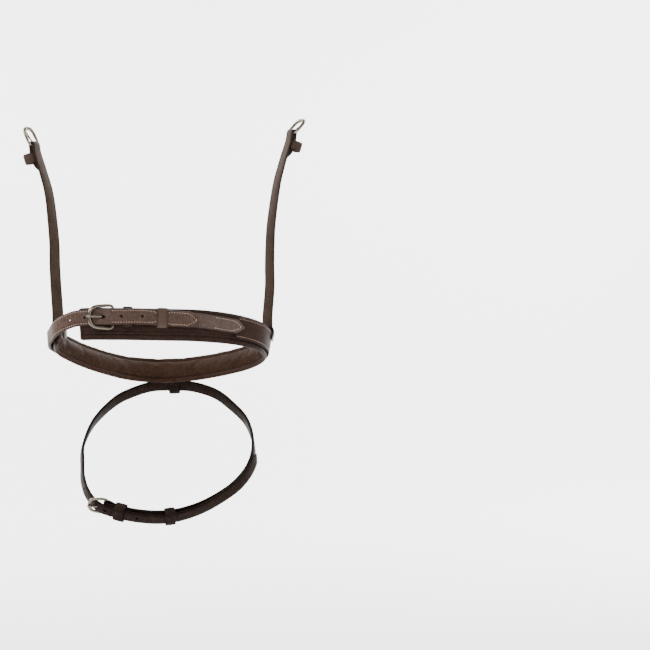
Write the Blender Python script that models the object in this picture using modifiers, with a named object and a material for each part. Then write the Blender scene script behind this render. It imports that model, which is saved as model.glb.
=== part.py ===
"""Padded flash noseband for a bridle, hanging by its two cheek-strap buckles.

Metres, +Z up, +X to the wearer's right, +Y from the jaw towards the nose.
Every strap follows a track: a smooth path with a travel direction, a width
direction and an outward direction.  Positions on a track are given as
(distance along, height above the track, offset across the width).
"""
import math

import bmesh
import bpy
import numpy as np
from mathutils import Matrix

# ---------------------------------------------------------------- noseband ring
# The ring hangs below the world origin, which lies between the hanger buckles.
RING_CENTRE = np.array((0.0, 0.020, -0.250))
RING_TILT = math.radians(19.0)      # the nose side sits lower than the jaw side
JAW_LEAN = math.radians(-4.0)       # lean of the band at the jaw
NOSE_LEAN = math.radians(30.0)      # lean of the band at the nose
JAW_Y = -0.0855
NOSE_Y = 0.0840
# Plan of the band's outer face, seen from above, starting at the middle of the jaw.
RING_PLAN = (
    (0.0000, -0.0855), (0.0450, -0.0815), (0.0880, -0.0660), (0.1160, -0.0410),
    (0.1240, -0.0090), (0.1120, 0.0225), (0.0800, 0.0530), (0.0400, 0.0760),
    (-0.0020, 0.0840), (-0.0450, 0.0720), (-0.0850, 0.0350), (-0.1110, -0.0030),
    (-0.1235, -0.0345), (-0.1165, -0.0675), (-0.0940, -0.0855), (-0.0500, -0.0880),
)

# Padded band, distances measured from the middle of the jaw round the right side.
PAD_START = -0.092                  # straight-cut jaw end, left of the buckle
PAD_END_GAP = 0.138                 # the other end stops this far short of a full turn
PAD_HALF_HEIGHT = 0.018
BAND_THICKNESS = 0.0019
LINING_THICKNESS = 0.0009
OVERLAY_START = 0.084
OVERLAY_END_GAP = 0.190
OVERLAY_WIDTH = 0.0240
OVERLAY_THICKNESS = 0.0018
OVERLAY_HEIGHT = 0.0014             # its middle, above the band's outer face
OVERLAY_RAISE = 0.0027              # sits above the middle of the padded band

# Jaw straps and their buckle.
BILLET_WIDTH = 0.0180
BILLET_THICKNESS = 0.0030
BILLET_HOLES = (-0.1165, -0.1010, -0.0850, -0.0452, -0.0230)
BILLET_HOLE_RADIUS = 0.0021
CHAPE_WIDTH = 0.0165
CHAPE_THICKNESS = 0.0018
JAW_BAR_S = -0.0547                 # the buckle's bar, distance along the ring
JAW_BAR_HEIGHT = 0.0039
JAW_FIXED_KEEPER_S = -0.0386
JAW_RUNNING_KEEPER_S = -0.0007

# ---------------------------------------------------------------- flash strap
FLASH_TOP = np.array((0.0130, 0.0879, -0.0465))    # from the ring centre
FLASH_SLOPE = math.radians(48.0)    # the flash hangs forward by this much from vertical
FLASH_LEAN = (                      # (share of the way round, lean in degrees)
    (0.00, -3.0), (0.05, -6.0), (0.15, -26.0), (0.21, -22.0), (0.27, -5.0), (0.38, 16.0),
    (0.49, 22.0), (0.60, 12.0), (0.71, -10.0), (0.84, -15.0), (0.95, -5.0), (1.00, -3.0),
)
# Outline of the flash in its own sloping plane: (sideways, down the slope).
FLASH_PLAN = (
    (-0.010, 0.2075), (0.023, 0.1990), (0.050, 0.1835), (0.0745, 0.1615), (0.0915, 0.1300),
    (0.095, 0.0960), (0.088, 0.0620), (0.0725, 0.0370), (0.0525, 0.0150), (0.0235, 0.0018),
    (-0.001, 0.0000), (-0.026, 0.0015), (-0.051, 0.0125), (-0.0690, 0.0255), (-0.0945, 0.0620),
    (-0.106, 0.1030), (-0.1055, 0.1270), (-0.1035, 0.1550), (-0.0950, 0.1780),
    (-0.073, 0.1935), (-0.043, 0.2045),
)
FLASH_WIDTH = 0.0140
FLASH_THICKNESS = 0.0026
FLASH_BAR_S = -0.0670
FLASH_BAR_HEIGHT = 0.00145
FLASH_FIXED_KEEPER_S = -0.0500
FLASH_RUNNING_KEEPER_S = 0.0050
FLASH_BILLET_LAP = 0.2150           # how far the pointed end runs past the bar

# ---------------------------------------------------------------- hangers
HANGER_WIDTH = 0.0127
HANGER_THICKNESS = 0.0022
HANGER_TAB_WIDTH = 0.0135
HANGER_TURN_BACK = 0.033
HANGER_KEEPER_BELOW_BAR = 0.0140
# Each hanger: where it meets the ring, how far its sewn tab stands out there, its run
# upwards from the ring's centre, its outward directions and its buckle's outward pitch.
HANGERS = {
    "left": {
        "ring_s": -0.1640,
        "tab_outer": 0.0016,
        "run": ((-0.1206, -0.036, 0.0735), (-0.1218, -0.036, 0.0975), (-0.1222, -0.036, 0.1203),
                (-0.1241, -0.036, 0.1442), (-0.1285, -0.036, 0.1796), (-0.1355, -0.036, 0.2057),
                (-0.1440, -0.036, 0.2350)),
        "foot_out": (-0.12, 0.99, 0.0),
        "low_out": (-0.50, 0.87, 0.0),
        "top_out": (-0.88, 0.47, 0.0),
        "pitch": math.radians(8.0),
    },
    "right": {
        "ring_s": 0.1540,
        "tab_outer": 0.0034,
        "run": ((0.1258, -0.013, 0.0750), (0.1256, -0.013, 0.0990), (0.1261, -0.013, 0.1234),
                (0.1275, -0.013, 0.1482), (0.1344, -0.013, 0.1967), (0.1391, -0.013, 0.2156),
                (0.1510, -0.013, 0.2570)),
        "foot_out": (0.42, 0.91, 0.0),
        "low_out": (0.62, 0.78, 0.0),
        "top_out": (0.90, 0.43, 0.0),
        "pitch": math.radians(26.0),
    },
}

# Buckles: bar and wire radii, inside half width, bar-to-end length, rise of the end bar.
JAW_BUCKLE = {"bar": 0.0015, "side": 0.0019, "end": 0.0024, "half": 0.0121, "length": 0.0255,
              "rise": 0.0021}
FLASH_BUCKLE = {"bar": 0.0013, "side": 0.0015, "end": 0.0019, "half": 0.0095, "length": 0.0200,
                "rise": 0.0}
FLASH_BUCKLE_PITCH = math.radians(22.0)
HANGER_BUCKLE = {"bar": 0.0013, "side": 0.0017, "end": 0.0021, "half": 0.0088, "length": 0.0200,
                 "rise": 0.0}
PRONG_CLEARANCE = 0.00025

COLLECTION = "flash_noseband"


# ---------------------------------------------------------------- paths and tracks
def smooth_path(knots, closed=False, step=0.0005):
    """Return points evenly spaced on a smooth curve through the knots."""
    knots = np.array(knots, dtype=float)
    if closed:
        knots = np.vstack([knots[-1], knots, knots[0], knots[1]])
    else:
        knots = np.vstack([2 * knots[0] - knots[1], knots, 2 * knots[-1] - knots[-2]])
    curve = [knots[1]]
    for a, b, c, d in zip(knots[:-3], knots[1:-2], knots[2:-1], knots[3:]):
        t1 = math.sqrt(np.linalg.norm(b - a))
        t2 = t1 + math.sqrt(np.linalg.norm(c - b))
        t3 = t2 + math.sqrt(np.linalg.norm(d - c))
        for t in np.linspace(t1, t2, 25)[1:]:
            ab = a * (t1 - t) / t1 + b * t / t1
            bc = b * (t2 - t) / (t2 - t1) + c * (t - t1) / (t2 - t1)
            cd = c * (t3 - t) / (t3 - t2) + d * (t - t2) / (t3 - t2)
            abc = ab * (t2 - t) / t2 + bc * t / t2
            bcd = bc * (t3 - t) / (t3 - t1) + cd * (t - t1) / (t3 - t1)
            curve.append(abc * (t2 - t) / (t2 - t1) + bcd * (t - t1) / (t2 - t1))
    return even_points(np.array(curve), step)


def even_points(curve, step):
    """Resample a polyline at an even spacing close to step."""
    lengths = np.linalg.norm(np.diff(curve, axis=0), axis=1)
    along = np.concatenate([[0.0], np.cumsum(lengths)])
    count = max(2, int(round(along[-1] / step)) + 1)
    wanted = np.linspace(0.0, along[-1], count)
    return np.stack([np.interp(wanted, along, column) for column in curve.T], axis=1)


def unit(vectors):
    """Scale vectors to length one."""
    vectors = np.asarray(vectors, dtype=float)
    return vectors / np.linalg.norm(vectors, axis=-1, keepdims=True)


class Track:
    """A path with travel, width and outward directions, read by distance along it."""

    def __init__(self, points, outward, closed):
        self.points = points
        self.closed = closed
        gaps = np.linalg.norm(np.diff(points, axis=0), axis=1)
        self.along = np.concatenate([[0.0], np.cumsum(gaps)])
        self.length = self.along[-1]
        if closed:
            ring = np.vstack([points[-2], points, points[1]])
            self.travel = unit(ring[2:] - ring[:-2])
        else:
            self.travel = unit(np.gradient(points, axis=0))
        hints = outward(points, self.travel, self.along / self.length)
        self.width = unit(np.cross(hints, self.travel))
        self.out = np.cross(self.travel, self.width)

    def frame(self, s):
        """Position, travel, width and outward directions at distances s."""
        s = np.atleast_1d(np.asarray(s, dtype=float))
        inside = np.mod(s, self.length) if self.closed else np.clip(s, 0.0, self.length)
        read = [np.stack([np.interp(inside, self.along, column) for column in table.T], axis=1)
                for table in (self.points, self.travel, self.width, self.out)]
        position, travel, width, out = read
        if not self.closed:
            position = position + unit(travel) * (s - inside)[:, None]
        return position, unit(travel), unit(width), unit(out)

    def place(self, s, height=0.0, across=0.0):
        """World points at distances s, heights above the track and offsets across it."""
        position, _, width, out = self.frame(s)
        height = np.broadcast_to(height, len(position))[:, None]
        across = np.broadcast_to(across, len(position))[:, None]
        return position + out * height + width * across

    def basis(self, s, height=0.0, across=0.0, forward=1):
        """Matrix whose X runs forward along the track, Y across it and Z outward."""
        _, travel, width, out = (table[0] for table in self.frame(s))
        matrix = Matrix.Identity(4)
        for row in range(3):
            matrix[row][0] = travel[row] * forward
            matrix[row][1] = width[row] * forward
            matrix[row][2] = out[row]
            matrix[row][3] = self.place(s, height, across)[0][row]
        return matrix


def ring_track():
    """The padded band's outer face, from the middle of the jaw round the right side."""
    plan = smooth_path(RING_PLAN, closed=True)
    height = -math.tan(RING_TILT) * plan[:, 1]
    points = np.column_stack([plan, height]) + RING_CENTRE

    def outward(at, travel, _):
        level = unit(np.cross(travel, (0.0, 0.0, 1.0)))
        share = (at[:, 1] - RING_CENTRE[1] - JAW_Y) / (NOSE_Y - JAW_Y)
        lean = (JAW_LEAN + (NOSE_LEAN - JAW_LEAN) * share)[:, None]
        return level * np.cos(lean) - np.array((0.0, 0.0, 1.0)) * np.sin(lean)

    return Track(points, outward, closed=True)


def flash_track():
    """The flash strap's middle, from its lowest point round the right side."""
    down = np.array((0.0, -math.sin(FLASH_SLOPE), -math.cos(FLASH_SLOPE)))
    face = np.array((0.0, -math.cos(FLASH_SLOPE), math.sin(FLASH_SLOPE)))
    plan = smooth_path(FLASH_PLAN, closed=True)
    start = RING_CENTRE + FLASH_TOP
    points = start + plan[:, :1] * np.array((1.0, 0.0, 0.0)) + plan[:, 1:] * down

    def outward(_, travel, share):
        level = unit(np.cross(travel, face))
        lean = np.radians(np.interp(share, *zip(*FLASH_LEAN)))[:, None]
        return level * np.cos(lean) - face * np.sin(lean)

    return Track(points, outward, closed=True)


def hanger_track(ring, side):
    """A hanger's main layer, from just above its tab up to its buckle's bar."""
    hanger = HANGERS[side]
    foot_across = pad_half(ring)(hanger["ring_s"] % ring.length) + 0.0072
    foot = ring.place(hanger["ring_s"], -0.0050, foot_across)[0]
    run = [foot, foot + np.array((0.0, 0.0, 0.010))]
    run += [np.array(knot) + RING_CENTRE for knot in hanger["run"]]
    points = smooth_path(run)
    directions = np.array((hanger["foot_out"], hanger["low_out"], hanger["top_out"]))

    def outward(_, __, share):
        return np.stack([np.interp(share, (0.05, 0.50, 1.0), column)
                         for column in directions.T], axis=1)

    return Track(points, outward, closed=False)


# ---------------------------------------------------------------- scene set-up
def clear_scene():
    """Empty the scene and make the collections for parts and cutters."""
    for thing in list(bpy.data.objects):
        bpy.data.objects.remove(thing, do_unlink=True)
    for name in (COLLECTION, "cutters"):
        group = bpy.data.collections.new(name)
        bpy.context.scene.collection.children.link(group)


def make_material(name, colour, roughness, metallic=0.0):
    """A plain surface with its own colour."""
    material = bpy.data.materials.new(name)
    material.use_nodes = True
    shader = material.node_tree.nodes["Principled BSDF"]
    shader.inputs["Base Color"].default_value = (*colour, 1.0)
    shader.inputs["Roughness"].default_value = roughness
    shader.inputs["Metallic"].default_value = metallic
    return material


def leather(name, shade):
    """Dark brown bridle leather."""
    colour = tuple(channel * shade for channel in (0.060, 0.036, 0.027))
    return make_material(name, colour, 0.48)


def soft_leather(name):
    """Softer brown lining leather."""
    return make_material(name, (0.042, 0.024, 0.016), 0.60)


def foam(name):
    """Grey-brown padding foam."""
    return make_material(name, (0.20, 0.17, 0.14), 0.90)


def steel(name):
    """Polished stainless steel."""
    return make_material(name, (0.72, 0.70, 0.67), 0.16, 1.0)


def add_object(name, mesh, material, matrix=None, group=COLLECTION):
    """Put a mesh into the scene under a name, with its own material."""
    thing = bpy.data.objects.new(name, mesh)
    bpy.data.collections[group].objects.link(thing)
    if material is not None:
        mesh.materials.append(material)
    if matrix is not None:
        thing.matrix_world = matrix
    return thing


def move_origin(thing, point):
    """Shift an object's origin to a world point without moving its surface."""
    point = np.asarray(point, dtype=float)
    thing.data.transform(Matrix.Translation(-point))
    thing.location = point


def shade_round(thing):
    """Smooth shading for a turned or drawn-wire piece."""
    for face in thing.data.polygons:
        face.use_smooth = True


# ---------------------------------------------------------------- shape makers
def grid_mesh(name, points, wrap=False, cap=False):
    """A grid of rows x columns bent onto the given points; wrap joins last column to first."""
    rows, columns = points.shape[:2]
    work = bmesh.new()
    bmesh.ops.create_grid(work, x_segments=columns - 1, y_segments=rows - 1, size=1.0)
    work.verts.ensure_lookup_table()
    for vertex in work.verts:
        column = int(round((vertex.co.x + 1.0) / 2.0 * (columns - 1)))
        row = int(round((vertex.co.y + 1.0) / 2.0 * (rows - 1)))
        vertex.co = points[row, column]
    if wrap:
        bmesh.ops.remove_doubles(work, verts=work.verts, dist=0.00001)
    if cap:
        edges = [edge for edge in work.edges if edge.is_boundary]
        bmesh.ops.holes_fill(work, edges=edges, sides=0)
    bmesh.ops.recalc_face_normals(work, faces=work.faces)
    mesh = bpy.data.meshes.new(name)
    work.to_mesh(mesh)
    work.free()
    return mesh


def thicken(thing, thickness):
    """Give an open surface its leather thickness, half to each side."""
    solidify = thing.modifiers.new("thickness", "SOLIDIFY")
    solidify.thickness = thickness
    solidify.offset = 0.0
    solidify.use_even_offset = True
    return thing


def ease_edges(thing, size):
    """Take the sharp edges off a leather piece."""
    bevel = thing.modifiers.new("eased edges", "BEVEL")
    bevel.width = size
    bevel.segments = 1
    bevel.limit_method = "ANGLE"
    bevel.angle_limit = math.radians(50.0)
    return thing


def end_scale(distance, half_width, shape):
    """Share of the full half width left at a distance from a strap's end."""
    if shape == "point":
        return min(1.0, 0.10 + 0.90 * distance / (half_width * 1.35))
    if shape == "round":
        reach = min(1.0, max(0.0, distance / half_width))
        return 0.25 + 0.75 * math.sqrt(1.0 - (1.0 - reach) ** 2)
    if shape == "corner":
        reach = min(1.0, max(0.0, distance / 0.004))
        return 0.80 + 0.20 * math.sqrt(1.0 - (1.0 - reach) ** 2)
    return 1.0


def strap(name, track, profile, width, thickness, material, ends=("square", "square"),
          across=0.0, step=0.006):
    """A strap along a track.

    profile: (distance, height) knots of its middle surface, in order.
    width: a number, or a function of the distance along the track.
    across: sideways offset, a number or a function of the distance along the track.
    """
    path = smooth_path(profile, step=0.0004)
    gaps = np.linalg.norm(np.diff(path, axis=0), axis=1)
    run = np.concatenate([[0.0], np.cumsum(gaps)])
    turning = np.abs(np.diff(np.unwrap(np.arctan2(*np.diff(path, axis=0).T))))
    weight = np.concatenate([[0.0], np.cumsum(gaps / step + np.append(turning, 0.0) / 0.40)])
    count = int(math.ceil(weight[-1]))
    stops = np.interp(np.linspace(0.0, weight[-1], count + 1), weight, run)
    extra = [0.0008, 0.0022, 0.0042, 0.0070]
    if ends[0] != "square":
        stops = np.concatenate([stops, extra])
    if ends[1] != "square":
        stops = np.concatenate([stops, run[-1] - np.array(extra)])
    stops = np.unique(np.round(stops, 6))
    stops = stops[np.concatenate([[True], np.diff(stops) > 0.0004])]
    rows = []
    for stop in stops:
        s = np.interp(stop, run, path[:, 0])
        height = np.interp(stop, run, path[:, 1])
        half = 0.5 * (width(s) if callable(width) else width)
        side = across(s) if callable(across) else across
        half *= min(end_scale(stop, half, ends[0]), end_scale(run[-1] - stop, half, ends[1]))
        rows.append([track.place(s, height, side + share * half)[0] for share in (-1.0, 1.0)])
    thing = add_object(name, grid_mesh(name, np.array(rows)), material)
    return thicken(thing, thickness)


def closed_band(name, matrix, outline, length, thickness, material, edge=0.0003):
    """A leather loop: a closed (across, outward) outline made length wide along X."""
    columns = np.array(outline + outline[:1])
    points = np.array([[(x, y, z) for y, z in columns] for x in (-length / 2, length / 2)])
    thing = add_object(name, grid_mesh(name, points, wrap=True), material, matrix)
    thicken(thing, thickness)
    return ease_edges(thing, edge)


def rounded_outline(half, low, high, corner, steps=3):
    """A rounded rectangle in (across, outward), running round once."""
    outline = []
    centres = ((half - corner, high - corner, 0), (-half + corner, high - corner, 90),
               (-half + corner, low + corner, 180), (half - corner, low + corner, 270))
    for y, z, start in centres:
        for k in range(steps + 1):
            angle = math.radians(start + 90.0 * k / steps)
            outline.append((y + corner * math.cos(angle), z + corner * math.sin(angle)))
    return outline


def rod(name, points, radii, material, matrix, closed=False, sides=2):
    """Round wire of varying radius along points, with filled ends when open."""
    curve = bpy.data.curves.new(name, "CURVE")
    curve.dimensions = "3D"
    curve.bevel_depth = 0.001
    curve.bevel_resolution = sides
    curve.use_fill_caps = not closed
    spline = curve.splines.new("POLY")
    spline.points.add(len(points) - 1)
    for knot, point, radius in zip(spline.points, points, radii):
        knot.co = (*point, 1.0)
        knot.radius = radius / 0.001
    spline.use_cyclic_u = closed
    guide = bpy.data.objects.new(name + "_guide", curve)
    bpy.context.scene.collection.objects.link(guide)
    bpy.context.view_layer.update()
    mesh = bpy.data.meshes.new_from_object(guide)
    bpy.data.objects.remove(guide, do_unlink=True)
    mesh.name = name
    work = bmesh.new()
    work.from_mesh(mesh)
    bmesh.ops.remove_doubles(work, verts=work.verts, dist=0.00002)
    bmesh.ops.recalc_face_normals(work, faces=work.faces)
    work.to_mesh(mesh)
    work.free()
    thing = add_object(name, mesh, material, matrix)
    shade_round(thing)
    return thing


def cut(thing, cutter):
    """Remove a cutter's volume from a piece."""
    cutter.hide_render = True
    cutter.display_type = "WIRE"
    boolean = thing.modifiers.new("cut", "BOOLEAN")
    boolean.operation = "DIFFERENCE"
    boolean.solver = "EXACT"
    boolean.object = cutter


def pitch_outward(angle):
    """Turn X towards Z about Y, as a buckle lifts about its bar."""
    return Matrix.Rotation(-angle, 4, "Y")


def peg_cutter(name, matrix, radius, tilt=0.0, depth=0.012):
    """A round punch standing along the matrix's Z, leaning towards X by tilt."""
    work = bmesh.new()
    bmesh.ops.create_cone(work, cap_ends=True, segments=14, radius1=radius, radius2=radius,
                          depth=depth)
    mesh = bpy.data.meshes.new(name)
    work.to_mesh(mesh)
    work.free()
    return add_object(name, mesh, None, matrix @ Matrix.Rotation(tilt, 4, "Y"), "cutters")


def slot_cutter(name, matrix, low, high):
    """A box-shaped cutter between two corners given in the matrix's axes."""
    work = bmesh.new()
    bmesh.ops.create_cube(work, size=1.0)
    low = np.array(low)
    high = np.array(high)
    for vertex in work.verts:
        vertex.co = low + (high - low) * (np.array(vertex.co) + 0.5)
    mesh = bpy.data.meshes.new(name)
    work.to_mesh(mesh)
    work.free()
    return add_object(name, mesh, None, matrix, "cutters")


# ---------------------------------------------------------------- padded band
def pad_half(ring):
    """Half height of the padded band as a function of distance."""
    turn = ring.length
    stations = (0.050, 0.110, 0.200, 0.330, turn - 0.250, turn - 0.180, turn - PAD_END_GAP)
    halves = (PAD_HALF_HEIGHT, 0.0168, 0.0160, 0.0166, 0.0158, 0.0148, 0.0128)
    return lambda s: float(np.interp(s, stations, halves))


def pad_stations(ring, inset):
    """Distances of the padded band's cross-sections, pulled in at both ends by inset."""
    start = PAD_START
    end = ring.length - PAD_END_GAP
    stations = np.linspace(start, end, int((end - start) / 0.0105))
    stations[0] += inset
    stations[-1] -= inset
    return stations


def nose_band(ring):
    """Outer leather of the padded band."""
    half = pad_half(ring)
    middle = -0.0011
    end = ring.length - PAD_END_GAP
    profile = [(s, middle) for s in np.linspace(PAD_START, end, 8)]
    return strap("nose_band", ring, profile, lambda s: 2.0 * half(s), BAND_THICKNESS,
                 leather("band_leather", 0.80), ends=("corner", "corner"), step=0.010)


def lining_section(half):
    """Open section of the lining: flange, seam, soft roll, seam, flange."""
    side = [(half - 0.0002, -0.0029), (half - 0.0010, -0.0046), (half - 0.0042, -0.0053),
            (half - 0.0062, -0.0078), (half - 0.0105, -0.0098)]
    return side + [(0.0, -0.0104)] + [(-w, n) for w, n in reversed(side)]


def padding_section(half):
    """Closed section of the foam that fills the lining."""
    side = [(half - 0.0028, -0.0026), (half - 0.0034, -0.0040), (half - 0.0072, -0.0070),
            (half - 0.0110, -0.0088)]
    loop = side + [(0.0, -0.0094)] + [(-w, n) for w, n in reversed(side)]
    return loop + loop[:1]


def nose_lining(ring):
    """Soft leather turned up over the padding."""
    half = pad_half(ring)
    rows = [[ring.place(s, n, w)[0] for w, n in lining_section(half(s))]
            for s in pad_stations(ring, 0.0006)]
    thing = add_object("nose_lining", grid_mesh("nose_lining", np.array(rows)),
                       soft_leather("lining_leather"))
    return thicken(thing, LINING_THICKNESS)


def nose_padding(ring):
    """Foam core between the band and its lining."""
    half = pad_half(ring)
    rows = [[ring.place(s, n, w)[0] for w, n in padding_section(half(s))]
            for s in pad_stations(ring, 0.0030)]
    mesh = grid_mesh("nose_padding", np.array(rows), wrap=True, cap=True)
    return add_object("nose_padding", mesh, foam("padding_foam"))


def nose_overlay(ring):
    """Raised stitched strap on the outside of the band."""
    end = ring.length - OVERLAY_END_GAP
    profile = [(s, OVERLAY_HEIGHT) for s in np.linspace(OVERLAY_START, end, 8)]
    return strap("nose_overlay", ring, profile, OVERLAY_WIDTH, OVERLAY_THICKNESS,
                 leather("overlay_leather", 0.90), ends=("corner", "corner"),
                 across=overlay_across(ring), step=0.010)


def overlay_across(ring):
    """The overlay sits a little high on the right and comes level at the nose."""
    return lambda s: float(np.interp(s, (0.10, 0.24), (OVERLAY_RAISE, 0.0)))


# ---------------------------------------------------------------- jaw straps and buckle
def jaw_across(s):
    """Sideways run of the jaw straps across the padded band."""
    stations = (-0.175, -0.145, -0.120, -0.095, -0.020, 0.085)
    return float(np.interp(s, stations, (0.0, -0.0010, 0.0025, 0.0065, 0.0080, 0.0033)))


def billet_strap(ring):
    """Pointed strap with holes, from the left side through the jaw buckle."""
    profile = (
        (-0.2200, 0.0043), (-0.1980, 0.0043), (-0.1860, 0.0044), (-0.1520, 0.0044),
        (-0.1400, 0.0024), (-0.1200, 0.0020), (-0.0920, 0.0020), (-0.0840, 0.0020),
        (-0.0775, 0.0024), (-0.0720, 0.0043), (-0.0664, 0.0070), (-0.0605, 0.0090),
        (-0.0547, 0.0096), (-0.0490, 0.0096), (-0.0430, 0.0095), (-0.0330, 0.0094),
        (-0.0260, 0.0086), (-0.0140, 0.0063), (-0.0050, 0.0057), (0.0200, 0.0057),
        (0.0417, 0.0057),
    )
    thing = strap("billet_strap", ring, profile, BILLET_WIDTH, BILLET_THICKNESS,
                  leather("billet_leather", 1.25), ends=("point", "point"), across=jaw_across)
    for number, s in enumerate(BILLET_HOLES):
        height = float(np.interp(s, [k[0] for k in profile], [k[1] for k in profile]))
        matrix = ring.basis(s, height, jaw_across(s), forward=-1)
        cut(thing, peg_cutter("billet_hole_%d" % (number + 1), matrix, BILLET_HOLE_RADIUS))
    cut(thing, slot_cutter("billet_prong_hole", jaw_bar_matrix(ring),
                           (0.0064, -0.0019, -0.0020), (0.0152, 0.0019, 0.0090)))
    return thing


def jaw_bar_matrix(ring):
    """Axes of the jaw buckle: origin on its bar, X towards its end bar."""
    return ring.basis(JAW_BAR_S, JAW_BAR_HEIGHT, jaw_across(JAW_BAR_S), forward=-1)


def chape_strap(ring):
    """Strap that holds the jaw buckle, folded round its bar and sewn down at its arrow end."""
    bar = JAW_BAR_S
    wrap = JAW_BUCKLE["bar"] + 0.0003 + CHAPE_THICKNESS / 2
    centre = JAW_BAR_HEIGHT
    profile = [(0.0940, 0.0037), (0.0830, 0.0036), (0.0760, 0.0015), (0.0560, 0.0014),
               (0.0460, 0.0029), (0.0200, 0.0029), (-0.0060, 0.0029), (-0.0140, 0.0030),
               (-0.0260, 0.0051), (-0.0440, 0.0051)]
    profile += fold_knots(bar, centre, wrap, -1)
    profile += [(-0.0450, 0.0028), (-0.0280, 0.0029)]
    thing = strap("chape_strap", ring, profile, CHAPE_WIDTH, CHAPE_THICKNESS,
                  leather("chape_leather", 1.15), ends=("point", "square"), across=jaw_across)
    cut(thing, slot_cutter("chape_prong_slot", jaw_bar_matrix(ring),
                           (-0.0052, -0.0020, -0.0058), (0.0060, 0.0020, 0.0060)))
    return thing


def fold_knots(bar, centre, wrap, forward):
    """Knots of a fold round a bar, starting outside and ending inside it."""
    angles = (90.0, 45.0, 0.0, -45.0, -90.0)
    return [(bar + forward * wrap * math.cos(math.radians(a)),
             centre + wrap * math.sin(math.radians(a))) for a in angles]


def buckle_frame(name, matrix, buckle, material):
    """Rounded wire frame with a slimmer bar, its origin on the bar."""
    half = buckle["half"]
    reach = buckle["length"]
    knots = (
        (0.0, -half * 0.86, buckle["bar"]), (0.0, -half * 0.45, buckle["bar"]),
        (0.0, half * 0.45, buckle["bar"]), (0.0, half * 0.86, buckle["bar"]),
        (reach * 0.09, half, buckle["side"]), (reach * 0.50, half * 1.02, buckle["side"]),
        (reach * 0.84, half * 0.95, buckle["side"]), (reach * 0.97, half * 0.70, buckle["end"]),
        (reach, 0.0, buckle["end"]),
        (reach * 0.97, -half * 0.70, buckle["end"]), (reach * 0.84, -half * 0.95, buckle["side"]),
        (reach * 0.50, -half * 1.02, buckle["side"]), (reach * 0.09, -half, buckle["side"]),
    )
    path = smooth_path(knots, closed=True, step=0.0022)[:-1]
    rise = buckle["rise"] / reach
    points = [(x, y, x * rise) for x, y, _ in path]
    return rod(name, points, path[:, 2], material, matrix, closed=True)


def buckle_prong(name, matrix, buckle, shaft, radius, material):
    """Prong: a flattened eye round the bar, then a shaft through the given (x, z) knots."""
    eye = 0.62 * radius
    turn = buckle["bar"] + PRONG_CLEARANCE + eye
    knots = [(turn * math.cos(math.radians(a)), turn * math.sin(math.radians(a)), eye)
             for a in (115, 160, 205, 250, 295, 335)]
    knots += [(x, z, radius) for x, z in shaft]
    knots[-1] = (*shaft[-1], radius * 0.7)
    path = smooth_path(knots, step=0.0011)
    points = [(x, 0.0, z) for x, z, _ in path]
    return rod(name, points, path[:, 2], material, matrix)


def jaw_buckle(ring):
    """Jaw buckle frame and prong."""
    matrix = jaw_bar_matrix(ring)
    shaft = ((0.0031, 0.0003), (0.0050, 0.0012), (0.0082, 0.0017), (0.0103, 0.0027),
             (0.0125, 0.0047), (0.0155, 0.0057), (0.0255, 0.0060), (0.0285, 0.0054))
    buckle_frame("jaw_buckle_frame", matrix, JAW_BUCKLE, steel("jaw_frame_steel"))
    buckle_prong("jaw_buckle_prong", matrix, JAW_BUCKLE, shaft, 0.00125,
                 steel("jaw_prong_steel"))


def jaw_keepers(ring):
    """Flat fixed keeper under the billet, and the running keeper round both straps."""
    fixed = ring.basis(JAW_FIXED_KEEPER_S, 0.0, jaw_across(JAW_FIXED_KEEPER_S))
    outline = rounded_outline(BILLET_WIDTH / 2 + 0.0016, 0.0008, 0.0069, 0.0020)
    closed_band("jaw_fixed_keeper", fixed, outline, 0.0105, 0.0012,
                leather("jaw_fixed_keeper_leather", 0.95))
    running = ring.basis(JAW_RUNNING_KEEPER_S, 0.0, jaw_across(JAW_RUNNING_KEEPER_S))
    outline = rounded_outline(BILLET_WIDTH / 2 + 0.0014, 0.0009, 0.0089, 0.0020)
    closed_band("jaw_running_keeper", running, outline, 0.0115, 0.0012,
                leather("jaw_running_keeper_leather", 0.95))


# ---------------------------------------------------------------- flash
def flash_loop(ring):
    """Leather loop sewn to the outside of the nose; the flash strap runs through it."""
    s = float(np.interp(0.0, *loop_station_table(ring)))
    knots = ((0.0100, 0.0037), (0.0035, 0.0037), (-0.0015, 0.0060), (-0.0057, 0.0108),
             (-0.0105, 0.0163), (-0.0148, 0.0213), (-0.0180, 0.0217), (-0.0204, 0.0187),
             (-0.0203, 0.0150), (-0.0160, 0.0100), (-0.0115, 0.0050), (-0.0060, 0.0037))
    path = smooth_path(knots, step=0.0022)
    matrix = ring.basis(s)
    rows = [[(x, w, n) for w, n in path] for x in (-0.0065, 0.0065)]
    thing = add_object("flash_loop", grid_mesh("flash_loop", np.array(rows)),
                       leather("flash_loop_leather", 0.85), matrix)
    thicken(thing, 0.0016)
    return ease_edges(thing, 0.0003)


def loop_station_table(ring):
    """Distance along the nose against sideways distance from the flash's top point."""
    stations = np.linspace(0.30, 0.36, 61)
    sideways = RING_CENTRE[0] + FLASH_TOP[0] - ring.place(stations)[:, 0]
    return sideways, stations


def flash_bar_matrix(flash):
    """Axes of the flash buckle's fold: origin on its bar, X along the strap."""
    return flash.basis(FLASH_BAR_S, FLASH_BAR_HEIGHT, 0.0, forward=-1)


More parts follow.
